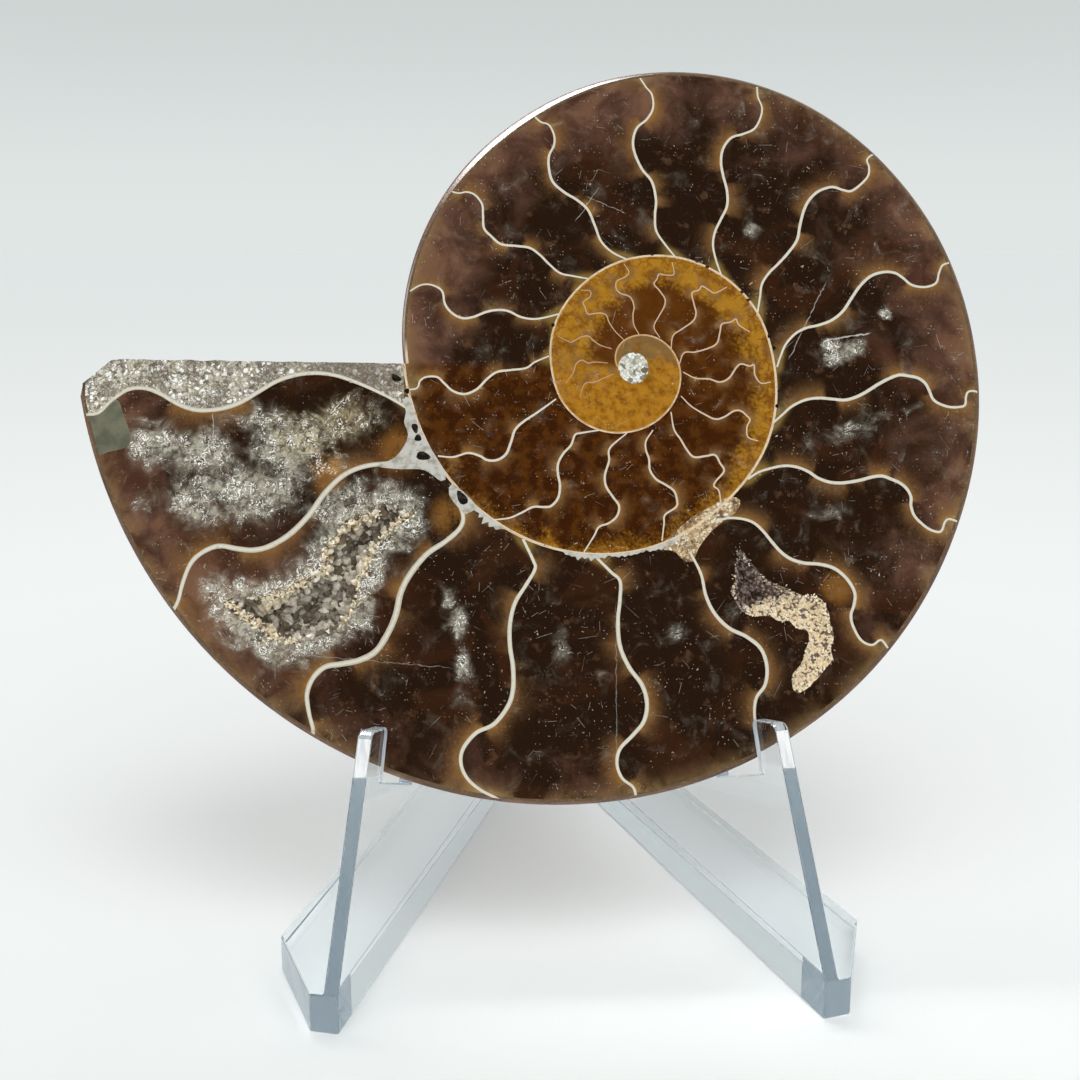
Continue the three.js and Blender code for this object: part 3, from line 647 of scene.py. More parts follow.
def back_rows(turn):
    """One section of the back, from the rim in to the radius where all meet, as (radius, height)."""
    rim = whorl_radius(turn)
    cut = rim_round(turn)
    rows = [(rim - inward * cut, -down * cut) for inward, down in BEVEL_SECTION]
    for row in range(1, OUTER_ROWS + 1):
        radius = INNER_RADIUS + (rim - INNER_RADIUS) * math.cos(math.pi / 2 * row / OUTER_ROWS)
        rows.append((radius, -max(1.3 * cut, back_depth(turn, radius)) - rib(turn, radius)))
    return rows


def chip_corner(points):
    """Cuts the outer corner of the mouth back to the plane of the break there."""
    points = np.array(points)
    past = (points[:, :2] - CHIP_PLACE) @ CHIP_OUT
    past = np.where(points[:, 0] < CHIP_LEFT, np.maximum(past, 0), 0)
    points[:, :2] -= past[:, None] * CHIP_OUT
    return points


def fill_outline(edge, spacing, seed, room):
    """Even triangles over a closed outline, with this much room between it and the loose corners."""
    drawing = Drawing()
    drawing.add("inside", edge)
    spots = honeycomb(edge, spacing, seed)
    spots = spots[is_inside(spots, edge)]
    spots = spots[distance_to(spots, edge, True) > room]
    corners, triangles, _ = drawing.fill(spots)
    return corners, triangles


def sew_in(vertices, border, edge, corners, triangles, points):
    """Faces of a filled outline, joined to the border round it; its other corners get these new points."""
    numbers = []
    for corner, point in zip(corners, points):
        gaps = np.linalg.norm(edge - corner, axis=1)
        if gaps.min() < 1e-3:
            numbers.append(border[int(gaps.argmin())])
        else:
            numbers.append(len(vertices))
            vertices.append(point)
    return [[numbers[i] for i in triangle] for triangle in triangles]


def break_wall(vertices, border):
    """Fills the broken mouth, whose border runs round it, with small rough facets."""
    edge = np.array([(-vertices[i][0], vertices[i][2]) for i in border])
    corners, triangles = fill_outline(edge, FACET_SIZE, 4, FACET_ROOM)
    points = []
    for left, z in corners:
        plane = left * math.tan(math.radians(-MOUTH_TURN))
        points.append((-left, plane + MOUTH_ROUGHNESS * wobble(-left, z, 1.7, 6), z))
    return sew_in(vertices, border, edge, corners, triangles, points)


def cavity(vertices, border, depth, slope, seed):
    """The stone behind a hollow's crystals: a bowl that hangs in a hole of the face from its border."""
    edge = np.array([vertices[i][:2] for i in border])
    corners, triangles = fill_outline(edge, CAVITY_SPACING, seed, 0.25 * CAVITY_SPACING)
    fall = np.minimum(1, distance_to(corners, edge, True) / slope) ** CAVITY_POWER * depth
    points = [(x, y, -down) for (x, y), down in zip(corners, fall)]
    return sew_in(vertices, border, edge, corners, triangles, points)


def add_floats(mesh, name, values, domain="POINT"):
    attribute = mesh.attributes.new(name, "FLOAT", domain)
    attribute.data.foreach_set("value", np.asarray(values, np.float32))


def new_piece(name, vertices, faces, materials=(), numbers=None):
    """A mesh object in the frame, from points in mm on the fossil."""
    mesh = bpy.data.meshes.new(name)
    mesh.from_pydata(in_frame(vertices).tolist(), [], faces)
    for material in materials:
        mesh.materials.append(material)
    if numbers is not None:
        mesh.polygons.foreach_set("material_index", numbers)
    mesh.validate()
    piece = bpy.data.objects.new(name, mesh)
    bpy.context.scene.collection.objects.link(piece)
    return piece


# How far from a line its glow reaches, and how far the left hollow's halo of frost does, in mm
GLOW_REACH = 5.0
HALO_REACH = 3.4


def glow_field(spots, lines):
    """How strongly amber glows at each spot: on the outer side of every bend of the nearest lines."""
    glow = np.zeros(len(spots))
    for _, line in lines:
        ahead = np.gradient(line, axis=0)
        ahead /= np.linalg.norm(ahead, axis=1)[:, None]
        turning = np.gradient(np.unwrap(np.arctan2(ahead[:, 1], ahead[:, 0])))
        bend = np.convolve(np.pad(turning, 2, mode="edge"), np.full(5, 0.2), mode="valid")
        bend /= np.linalg.norm(np.gradient(line, axis=0), axis=1)
        low, high = line.min(axis=0) - GLOW_REACH, line.max(axis=0) + GLOW_REACH
        near = np.nonzero(np.all((spots > low) & (spots < high), axis=1))[0]
        offsets = spots[near][:, None, :] - line[None, :, :]
        distances = np.linalg.norm(offsets, axis=2)
        closest = distances.argmin(axis=1)
        rows = np.arange(len(near))
        offset, along = offsets[rows, closest], ahead[closest]
        side = np.sign(along[:, 0] * offset[:, 1] - along[:, 1] * offset[:, 0])
        size = np.linalg.norm(line[-1] - line[0]) / 40
        strength = np.clip(-side * bend[closest] * size * 11 - 0.05, 0, 1)
        glow[near] = np.maximum(glow[near], strength * np.exp(-distances[rows, closest] / (0.4 + 1.8 * size)))
    return glow


def frost_field(spots):
    """How frosty each spot is, from 0 to 1."""
    frost = np.zeros(len(spots))
    for px, py, across, up, slant, strength in FROST_PATCHES:
        tilt = math.radians(slant)
        x, y = (spots - face_point(px, py)).T / PIXEL
        along = (x * math.cos(tilt) + y * math.sin(tilt)) / across
        beside = (y * math.cos(tilt) - x * math.sin(tilt)) / up
        frost = np.maximum(frost, strength * np.clip(1.35 - np.hypot(along, beside), 0, 1))
    halo = distance_to(spots, on_face(LEFT_HOLLOW, 1.2, True), True)
    return np.maximum(frost, np.clip(1.15 - halo / HALO_REACH, 0, 1))


def start_at_mouth(border, corners):
    """The border in order from the mouth's outer end, with the turn and the radius of each corner."""
    radii = [math.hypot(*corners[i]) for i in border]
    first = max(range(len(border)), key=lambda k: radii[k])
    border = border[first:] + border[:first]
    radii = radii[first:] + radii[:first]
    turns = []
    for k, i in enumerate(border):
        turn = math.degrees(math.atan2(corners[i][1], corners[i][0])) + 180
        if k == 0 or (k < MOUTH_CORNERS and turn > 180):
            turn -= 360
        turns.append(turn)
    return border, turns, radii


def rim_end(turns, radii):
    """The number in the border of its last corner on the rim, at the mouth's inner end."""
    late = [k for k, turn in enumerate(turns) if k > 0 and turn > LATE_TURN]
    return max(k for k in late if abs(radii[k] - whorl_radius(turns[k])) < RIM_TOLERANCE)


def back_sections(vertices, rim, turns):
    """Sections of the back, from each of the rim's corners to the middle; the last one ends on the first."""
    sections = []
    for corner, turn in zip(rim, turns):
        section = [corner]
        for radius, height in back_rows(turn):
            section.append(len(vertices))
            vertices.append((*at_turn(turn, radius), height))
        if len(sections) < len(rim) - 1:
            for row in range(1, INNER_ROWS):
                radius = INNER_RADIUS * (1 - row / INNER_ROWS)
                section.append(len(vertices))
                vertices.append((*at_turn(turn, radius), -back_depth(turn, radius) - rib(turn, radius)))
        else:
            section = section[:-1] + sections[0][len(section) - 1:]
        sections.append(section)
    return sections


def back_faces(vertices, sections):
    """The faces between each two sections, with one new point in the middle of the back."""
    middle = len(vertices)
    vertices.append((0.0, 0.0, -MIDDLE_THICKNESS))
    faces = []
    for here, there in zip(sections, sections[1:]):
        faces += [[here[j], here[j + 1], there[j + 1], there[j]] for j in range(len(here) - 1)]
        faces.append([here[-1], middle, there[-1]])
    return faces


def tree_of(lines):
    """The points of some lines, ready to be searched for the nearest one."""
    places = [(x, y, 0) for line in lines for x, y in line]
    tree = KDTree(len(places))
    for i, place in enumerate(places):
        tree.insert(place, i)
    tree.balance()
    return tree


def nearest_of(lines, corners, count):
    """Each of the face's corners' distance from the nearest of some lines; the other corners are far."""
    tree = tree_of(lines)
    distances = np.full(count, FAR)
    distances[:len(corners)] = [tree.find((x, y, 0))[2] for x, y in corners]
    return distances


def add_measures(mesh, vertices, corners, lines):
    """What the materials read: a place's age and its rise across its whorl, and what is near it."""
    spots = np.array(vertices)[:, :2]
    places = [find_turn(x, y) for x, y in spots]
    glow = np.zeros(len(spots))
    glow[:len(corners)] = glow_field(corners, lines)
    add_floats(mesh, "age", [turn / OLD_TURN for turn, _ in places])
    add_floats(mesh, "rise", [rise for _, rise in places])
    add_floats(mesh, "near", nearest_of([line for _, line in lines], corners, len(spots)))
    add_floats(mesh, "seam", nearest_of([spiral_line(MOUTH_TURN, LAST_TURN, 2)], corners, len(spots)))
    add_floats(mesh, "glow", glow)
    add_floats(mesh, "frost", frost_field(spots))


def make_ammonite(materials):
    """The fossil itself: its polished face, its rounded back, the broken mouth and the hollows' walls."""
    lines = septum_lines()
    hollows = [on_face(LEFT_HOLLOW, LEFT_STEP, True), on_face(RIGHT_HOLLOW, RIGHT_STEP, True)]
    corners, face, kinds = draw_face(lines, hollows)
    outer_loop, left_loop, right_loop = edge_loops(face)[:3]
    vertices = [(x, y, 0.0) for x, y in corners]
    tones = list(chamber_numbers(face, kinds > FACE_KINDS.index("crumbs"), TONE_SEED))

    border, turns, radii = start_at_mouth(outer_loop, corners)
    last = rim_end(turns, radii)
    sections = back_sections(vertices, border[:last + 1], turns)
    patches = {"back": back_faces(vertices, sections)}
    rows = len(back_rows(0))
    mouth = border[last:] + sections[0][:rows + 1] + sections[-1][1:rows][::-1]
    patches["broken_mouth"] = break_wall(vertices, mouth)
    patches["cavity"] = cavity(vertices, left_loop, LEFT_DEPTH + CAVITY_MARGIN, LEFT_SLOPE, 21)
    patches["cavity"] += cavity(vertices, right_loop, RIGHT_DEPTH + CAVITY_MARGIN, RIGHT_SLOPE, 22)
    faces, numbers = list(face), list(kinds)
    for kind, patch in patches.items():
        faces += patch
        numbers += [FOSSIL_FINISHES.index(kind)] * len(patch)
        tones += [0.5] * len(patch)

    piece = new_piece("ammonite_half", chip_corner(vertices), faces, materials, numbers)
    face_outward(piece)
    piece.data.polygons.foreach_set("use_smooth", [True] * len(piece.data.polygons))
    piece.data.set_sharp_from_angle(angle=SHARP_ANGLE)
    add_measures(piece.data, vertices, corners, lines)
    add_floats(piece.data, "tone", tones, "FACE")
    drop_loose_corners(piece.data)
    return piece


def drop_loose_corners(mesh):
    """Removes the corners of the drawing that lie outside the face."""
    shape = bmesh.new()
    shape.from_mesh(mesh)
    loose = [corner for corner in shape.verts if not corner.link_faces]
    bmesh.ops.delete(shape, geom=loose, context="VERTS")
    shape.to_mesh(mesh)
    shape.free()


def face_outward(piece):
    """Turns every face of a closed mesh outwards."""
    shape = bmesh.new()
    shape.from_mesh(piece.data)
    bmesh.ops.recalc_face_normals(shape, faces=shape.faces)
    shape.to_mesh(piece.data)
    shape.free()


# Crystals that line the hollows: how much of one is sunk in its bed, the length with that part,
# and where on it the point starts, as shares of its length or of the whole
ROOT_SHARE = 0.25
WHOLE_SHARE = 1 + ROOT_SHARE
CRYSTAL_SHOULDER = 0.62


class Crystals:
    """Many small pointed crystals gathered in one mesh, each with a shade of its own."""

    def __init__(self, seed):
        self.random = np.random.default_rng(seed)
        self.vertices = []
        self.faces = []
        self.shades = []
        self.creams = []

    def grow(self, place, direction, radius, length, cream=0.0, sides=6, flat=1.0):
        """One crystal that stands on a place and points in a direction; cream is how far it is coated.

        The flatter it is, the more it is like a blade.
        """
        axis = np.asarray(direction, float)
        axis /= np.linalg.norm(axis)
        across = np.cross(axis, self.random.normal(0, 1, 3))
        across /= np.linalg.norm(across)
        up = np.cross(axis, across)
        spin = self.random.uniform(0, 2 * math.pi)
        start = len(self.vertices)
        root = np.asarray(place) - axis * ROOT_SHARE * length
        for height, width in ((0, 0.94), (CRYSTAL_SHOULDER * WHOLE_SHARE * length, 1.0)):
            for k in range(sides):
                angle = 2 * math.pi * k / sides
                uneven = radius * width * (1 + 0.22 * math.sin(2 * angle + spin))
                sideways = math.cos(angle) * across + flat * math.sin(angle) * up
                self.vertices.append(root + axis * height + uneven * sideways)
        lean = self.random.uniform(-0.25, 0.25, 2) * radius
        self.vertices.append(root + axis * WHOLE_SHARE * length + lean[0] * across + lean[1] * up)
        tip = len(self.vertices) - 1
        ring = range(sides)
        self.faces.append([start + k for k in reversed(ring)])
        for k in ring:
            after = (k + 1) % sides
            self.faces.append([start + k, start + after, start + sides + after, start + sides + k])
            self.faces.append([start + sides + k, start + sides + after, tip])
        shade = self.random.uniform()
        self.shades += [shade] * (2 * sides + 1)
        self.creams += [cream] * (2 * sides + 1)

    def add_bed(self, vertices, faces, creams):
        """The bed that the crystals grow from, as part of the same mesh."""
        start = len(self.vertices)
        self.vertices += [np.asarray(vertex) for vertex in vertices]
        self.faces += [[start + i for i in face] for face in faces]
        self.shades += [0.5] * len(vertices)
        self.creams += list(creams)

    def piece(self, name, material):
        result = new_piece(name, np.array(self.vertices), self.faces, [material])
        add_floats(result.data, "shade", self.shades)
        add_floats(result.data, "cream", self.creams)
        return result


# The bowl that a hollow's bed of crystals makes, in mm: how wide its sloping wall is, and how round,
# how high its rim is over the face, how thick it is, and the highest that a crystal's tip may be
BED_WALL = 1.7
BED_POWER = 0.75
BED_RIM = -0.12
BED_THICKNESS = 0.45
TIP_LEVEL = -0.05


def bed_height(spots, edge, depth, seed):
    """Height of the bed of crystals at each spot of a hollow: a bumpy bowl."""
    fall = np.minimum(1, distance_to(spots, edge, True) / BED_WALL) ** BED_POWER
    bumps = np.array([0.7 * wobble(x, y, 2.3, seed) + 0.35 * wobble(x, y, 0.9, seed + 1) for x, y in spots])
    return BED_RIM - fall * (depth * 0.82 + bumps * depth * 0.3)


def crystal_bed(edge, depth, spacing, seed, lift=None):
    """A closed bumpy sheet over a hollow's floor and walls: its vertices and faces.

    Lift gives the share of its depth that the sheet loses at a place.
    """
    corners, triangles = fill_outline(edge, spacing, seed, 0.3 * spacing)
    heights = bed_height(corners, edge, depth, seed)
    if lift is not None:
        heights *= np.array([1 - lift(corner) for corner in corners])
    top = np.column_stack((corners, heights))
    under = np.column_stack((corners, heights - BED_THICKNESS))
    count = len(corners)
    faces = [list(triangle) for triangle in triangles]
    border = edge_loops(faces)[0]
    faces += [[i + count for i in reversed(triangle)] for triangle in triangles]
    for a, b in zip(border, border[1:] + border[:1]):
        faces.append([b, a, a + count, b + count])
    return np.vstack((top, under)), faces, top, triangles


def facet_normal(top, triangle):
    """The direction that one facet of a bed faces."""
    a, b, c = (top[i] for i in triangle)
    normal = np.cross(b - a, c - a)
    return normal / max(np.linalg.norm(normal), 1e-9)


def cover_with_crystals(crystals, top, triangles, count, sizes, cream_at, stretch=1.5):
    """Crystals scattered over a bed, each pointing away from it with a lean of its own."""
    random = crystals.random
    areas = []
    for triangle in triangles:
        a, b, c = (top[i] for i in triangle)
        areas.append(np.linalg.norm(np.cross(b - a, c - a)))
    areas = np.array(areas)
    for i in random.choice(len(areas), count, p=areas / areas.sum()):
        triangle = triangles[i]
        shares = random.dirichlet((1, 1, 1))
        place = sum(share * top[k] for share, k in zip(shares, triangle))
        lean = facet_normal(top, triangle) + random.normal(0, 0.38, 3)
        cream = cream_at(place)
        radius = random.uniform(*sizes) * (0.75 if cream > 0.5 else 1)
        length = radius * stretch * random.uniform(0.8, 1.6)
        if place[2] + length > TIP_LEVEL:
            length = max(radius * 0.6, TIP_LEVEL - place[2])
        crystals.grow(place, lean, radius, length, cream)


def grow_ridge(crystals, pixels, width, count, size):
    """A ragged cream ridge of crumbs along a line drawn in the photograph, a little below the face."""
    line = on_face(pixels, 0.2)
    random = crystals.random
    for _ in range(count):
        spot = random.integers(len(line))
        loose = width * (1 + 1.2 * abs(wobble(spot, 0, 7, 60)))
        x, y = line[spot] + random.normal(0, loose, 2)
        radius = size * random.uniform(0.35, 1.3)
        lean = (random.normal(0, 1.1), random.normal(0, 1.1), random.uniform(0.2, 1))
        length = radius * random.uniform(0.8, 1.7)
        place = (x, y, RIDGE_LEVEL + random.uniform(-0.4, 0.05))
        crystals.grow(place, lean, radius, length, random.uniform(0.42, 1), 5, random.uniform(0.12, 0.45))


# Cream ridges along the hollows' edges, in the photograph's pixels, and their height over the face in mm
RIDGE_LEVEL = -0.1
LEFT_RIDGES = [
    [(376, 511), (368, 516), (352, 521), (341, 527), (334, 540), (324, 548), (325, 562), (322, 572)],
    [(425, 506), (407, 517), (390, 532), (378, 546), (368, 560), (362, 578), (360, 592), (354, 609),
     (345, 622)],
    [(223, 600), (234, 608), (250, 620), (265, 632), (282, 640), (299, 643)],
    [(262, 598), (281, 593), (297, 584), (311, 573)],
]
RIGHT_RIDGES = [
    [(738, 551), (735, 569), (734, 590), (742, 610), (765, 616), (785, 621), (806, 632)],
    [(745, 553), (757, 569), (773, 583), (797, 593), (816, 596), (827, 606)],
    [(808, 640), (802, 662), (794, 680), (800, 692), (812, 684), (830, 664), (834, 640)],
]


# Where cream crumbs gather in each hollow, in the photograph's pixels
LEFT_CREAM_CORNER = (262, 622)
RIGHT_CREAM_START = (770, 599)


def make_left_crystals(material):
    """Grey blades over the left hollow's floor, cream along its ridges and in its lower corner."""
    crystals = Crystals(5)
    edge = on_face(LEFT_HOLLOW, LEFT_STEP, True)
    vertices, faces, top, triangles = crystal_bed(edge, LEFT_DEPTH, 0.6, 31)
    crystals.add_bed(vertices, faces, [0.0] * len(vertices))
    corner = face_point(*LEFT_CREAM_CORNER)
    tree = tree_of([on_face(ridge, 0.4) for ridge in LEFT_RIDGES])

    def cream_at(place):
        from_ridge = tree.find((place[0], place[1], 0))[2]
        from_corner = math.hypot(place[0] - corner[0], place[1] - corner[1])
        patchy = 0.35 * wobble(place[0], place[1], 1.1, 40)
        return float(np.clip(1.0 - from_ridge / 0.8 + patchy + max(0, 0.8 - from_corner / 5), 0, 1))

    cover_with_crystals(crystals, top, triangles, 430, (0.3, 0.62), cream_at, 1.7)
    cover_with_crystals(crystals, top, triangles, 420, (0.14, 0.3), cream_at, 2.0)
    for ridge in LEFT_RIDGES:
        grow_ridge(crystals, ridge, 0.27, 300, 0.23)
    return crystals.piece("left_hollow_crystals", material)


def make_right_crystals(material):
    """Small sugary crystals in the right hollow, cream below its upper arm."""
    crystals = Crystals(6)
    edge = on_face(RIGHT_HOLLOW, RIGHT_STEP, True)
    start = face_point(*RIGHT_CREAM_START)

    def cream_at(place):
        below = (start[1] - place[1]) + 0.35 * (place[0] - start[0])
        return float(np.clip(0.5 + below / 1.2 + 0.4 * wobble(place[0], place[1], 1.0, 41), 0, 1))

    def crumbs_at(place):
        return cream_at(place) * (0.46 + 0.7 * wobble(place[0], place[1], 0.6, 43))

    vertices, faces, top, triangles = crystal_bed(
        edge, RIGHT_DEPTH, 0.5, 33, lambda place: 0.45 * cream_at(place))
    crystals.add_bed(vertices, faces, [crumbs_at(vertex) for vertex in vertices])
    cover_with_crystals(crystals, top, triangles, 1500, (0.12, 0.27), cream_at, 1.4)
    for ridge in RIGHT_RIDGES:
        grow_ridge(crystals, ridge, 0.13, 150, 0.17)
    return crystals.piece("right_hollow_crystals", material)


# The clear stand: how far its edges are softened, and the angles that count as flat and as an edge
EDGE_ROUND = 0.22 * MM
SAME_CORNER = 0.01 * MM
FLAT_ANGLE = math.radians(1)
EDGE_ANGLE = math.radians(30)
# How far down the face, in mm from the spiral's centre, the lips' white edges reach; their white is partly a
# cloudy edge and partly painted reflection of bright light
LIP_FOOT = -50.2
# How squarely a lip's side has to face the front or the back to be a white one
LIP_FACING = 0.75


def make_stand_half(node, name, materials):
    """One half of the stand, cut from sheet, with the softened edges that flame polishing leaves."""
    piece = bpy.data.objects[node].copy()
    piece.data = bpy.data.objects[node].data.copy()
    piece.name = piece.data.name = name
    piece.data.materials.clear()
    for material in materials:
        piece.data.materials.append(material)
    bpy.context.scene.collection.objects.link(piece)
    shape = bmesh.new()
    shape.from_mesh(piece.data)
    bmesh.ops.remove_doubles(shape, verts=shape.verts, dist=SAME_CORNER)
    bmesh.ops.dissolve_limit(shape, angle_limit=FLAT_ANGLE, verts=shape.verts, edges=shape.edges)
    sharp = [edge for edge in shape.edges if edge.calc_face_angle(0) > EDGE_ANGLE]
    bmesh.ops.bevel(shape, geom=sharp, offset=EDGE_ROUND, segments=2, profile=0.5, affect="EDGES",
                    clamp_overlap=True)
    bmesh.ops.recalc_face_normals(shape, faces=shape.faces)
    lip_foot = SPIRAL_CENTRE + FACE_UP * LIP_FOOT * MM
    everything = shape.verts[:] + shape.edges[:] + shape.faces[:]
    bmesh.ops.bisect_plane(shape, geom=everything, plane_co=lip_foot, plane_no=FACE_UP, dist=1e-7)
    for face in shape.faces:
        from_foot = face.calc_center_median() - lip_foot
        is_lip = from_foot.dot(FACE_UP) > 0 and from_foot.dot(FACE_OUT) > 0
        face.material_index = int(is_lip and abs(face.normal.y) > LIP_FACING)
    shape.to_mesh(piece.data)
    shape.free()
    return piece


def feed(tree, socket, value):
    """Gives a socket another node's output, a number, a vector, or a colour without its alpha."""
    if isinstance(value, bpy.types.NodeSocket):
        tree.links.new(value, socket)
    elif socket.type == "RGBA":
        socket.default_value = (*value, 1)
    else:
        socket.default_value = value


def connect(w, sockets, **values):
    """Feeds several sockets of one node, named with underscores for their spaces."""
    for name, value in values.items():
        feed(w.tree, sockets[name.replace("_", " ")], value)


class Wiring:
    """Short ways to add nodes to one tree. An input is a number, a colour or another node's output."""

    def __init__(self, tree):
        self.tree = tree

    def node(self, kind, inputs=None, **settings):
        node = self.tree.nodes.new("ShaderNode" + kind)
        for name, value in settings.items():
            setattr(node, name, value)
        for name, value in (inputs or {}).items():
            feed(self.tree, node.inputs[name], value)
        return node

    def place(self):
        """Where a point is on the fossil, in mm: to the right, up the face and out of it."""
        coordinates = self.node("TexCoord").outputs["Object"]
        settings = {
            "Vector": coordinates, "Location": SPIRAL_CENTRE,
            "Rotation": (math.pi / 2 - LEAN, 0, 0), "Scale": (MM, MM, MM),
        }
        return self.node("Mapping", settings, vector_type="TEXTURE").outputs[0]

    def turned(self, place, turn, lengths):
        """Places turned on the face, for marks that run in one direction; lengths are their sizes in mm."""
        settings = {"Vector": place, "Rotation": (0, 0, math.radians(turn)), "Scale": lengths}
        return self.node("Mapping", settings, vector_type="TEXTURE").outputs[0]

    def attribute(self, name):
        return self.node("Attribute", attribute_name=name).outputs["Fac"]

    def math(self, operation, a, b=0.0, clamp=False):
        return self.node("Math", {0: a, 1: b}, operation=operation, use_clamp=clamp).outputs[0]

    def add(self, a, b):
        return self.math("ADD", a, b)

    def times(self, a, b):
        return self.math("MULTIPLY", a, b)

    def fade(self, value, start, end):
        """Goes smoothly from 0 at start to 1 at end."""
        settings = {"Value": value, "From Min": start, "From Max": end}
        return self.node("MapRange", settings, interpolation_type="SMOOTHSTEP").outputs[0]

    def near_to(self, distance, reach):
        """1 at no distance, fading out over a reach."""
        return self.math("EXPONENT", self.times(distance, -1 / reach))

    def mix(self, share, a, b):
        """The first colour where the share is 0, the second one where it is 1."""
        node = self.node("Mix", {0: share, 6: a, 7: b}, data_type="RGBA")
        return node.outputs[2]

    def tint(self, colour, other, mask, strength):
        """A colour with another one over it, this strong where the mask is 1."""
        return self.mix(self.times(mask, strength), colour, other)

    def ramp(self, value, stops):
        """Colours along a value, each at its own position from 0 to 1."""
        node = self.node("ValToRGB", {"Fac": value})
        elements = node.color_ramp.elements
        while len(elements) < len(stops):
            elements.new(0.5)
        for element, (position, colour) in zip(elements, stops):
            element.position = position
            element.color = (*colour, 1)
        return node.outputs["Color"]

    def noise(self, place, scale, detail=2.0, roughness=0.5, bend=0.0, dimensions="3D"):
        """Clouds of lumps from 0 to 1, with this many large lumps per mm."""
        settings = {
            "Vector": place, "Scale": scale, "Detail": detail, "Roughness": roughness, "Distortion": bend,
        }
        return self.node("TexNoise", settings, noise_dimensions=dimensions).outputs["Fac"]

    def flat_noise(self, place, *looks):
        """The same clouds, but only over the face."""
        return self.noise(place, *looks, dimensions="2D")

    def cells(self, place, scale, feature="F1", output="Distance"):
        """A mosaic of cells, with this many per mm."""
        return self.node("TexVoronoi", {"Vector": place, "Scale": scale}, feature=feature).outputs[output]

    def strokes(self, place, per_mm, length, width, share):
        """Straight marks on the face, each in a direction of its own, up to twice this long and wide in mm.

        Only a share of the cells of a mosaic has one. The second result is a random number for each cell.
        """
        settings = {"Vector": place, "Scale": per_mm}
        mosaic = self.node("TexVoronoi", settings, voronoi_dimensions="2D").outputs
        offset = self.node("VectorMath", {0: place, 1: mosaic["Position"]}, operation="SUBTRACT").outputs[0]
        numbers = self.node("SeparateColor", {"Color": mosaic["Color"]}).outputs
        angle = self.times(numbers["Red"], 2 * math.pi)
        turned = self.node("VectorRotate", {"Vector": offset, "Angle": angle}, rotation_type="Z_AXIS")
        sides = self.node("SeparateXYZ", {0: turned.outputs[0]}).outputs
        reach = self.add(self.times(numbers["Blue"], 0.7 * length), 0.3 * length)
        along = self.fade(self.math("DIVIDE", self.math("ABSOLUTE", sides["X"]), reach), 1.0, 0.75)
        across = self.fade(self.math("ABSOLUTE", sides["Y"]), width, 0.4 * width)
        chosen = self.fade(numbers["Green"], 1 - share, 1 - 0.8 * share)
        return self.times(self.times(along, across), chosen), numbers["Red"]

    def bump(self, height, strength, depth):
        """A surface that stands out with a height, this deep in mm."""
        inputs = {"Height": height, "Strength": strength, "Distance": depth * MM}
        return self.node("Bump", inputs).outputs[0]

    def use(self, effect, inputs):
        """A shared effect, placed here with its own values."""
        return self.node("Group", inputs, node_tree=SHARED[effect]).outputs


def new_group(name, inputs, outputs):
    """An empty shared effect: its wiring, its inputs and the sockets to feed."""
    group = bpy.data.node_groups.new(name, "ShaderNodeTree")
    for label, kind, value in inputs:
        socket = group.interface.new_socket(label, in_out="INPUT", socket_type=kind)
        socket.default_value = value
    for label, kind in outputs:
        group.interface.new_socket(label, in_out="OUTPUT", socket_type=kind)
    wiring = Wiring(group)
    given = group.nodes.new("NodeGroupInput").outputs
    result = group.nodes.new("NodeGroupOutput").inputs
    return group, wiring, given, result


def new_finish(name):
    """A material with its own shader: the material, its wiring and the shader's sockets."""
    material = bpy.data.materials.new(name)
    material.use_nodes = True
    return material, Wiring(material.node_tree), material.node_tree.nodes["Principled BSDF"].inputs


def polish_marks_group():
    """Bright flecks and fine scratches in polished stone: a mask for each."""
    group, w, given, result = new_group(
        "polish_marks",
        [("Amount", "NodeSocketFloat", 0.5)],
        [("Flecks", "NodeSocketFloat"), ("Scratches", "NodeSocketFloat")],
    )
    place = w.place()
    wavy = w.add(w.flat_noise(place, 0.13, 3.0, 0.6), w.times(w.math("SUBTRACT", given["Amount"], 0.5), 0.3))
    plenty = w.fade(wavy, 0.42, 0.68)
    uneven = w.fade(w.flat_noise(place, 0.7, 3.0, 0.6), 0.4, 0.6)
    flecks = w.strokes(place, 1.15, 0.15, 0.055, 0.26)[0]
    for per_mm, length, width, share in ((2.3, 0.1, 0.045, 0.2), (0.45, 0.3, 0.1, 0.14)):
        flecks = w.math("MAXIMUM", flecks, w.strokes(place, per_mm, length, width, share)[0])
    flecks = w.times(w.times(flecks, uneven), w.add(plenty, 0.05))
    long_scratches = w.strokes(place, 0.3, 1.4, 0.032, 0.3)[0]
    short_scratches = w.strokes(place, 0.62, 0.7, 0.03, 0.28)[0]
    scratches = w.math("MAXIMUM", long_scratches, short_scratches)
    scratches = w.times(scratches, w.add(w.times(plenty, 0.9), 0.06))
    connect(w, result, Flecks=w.math("MINIMUM", flecks, 1.0), Scratches=scratches)
    return group


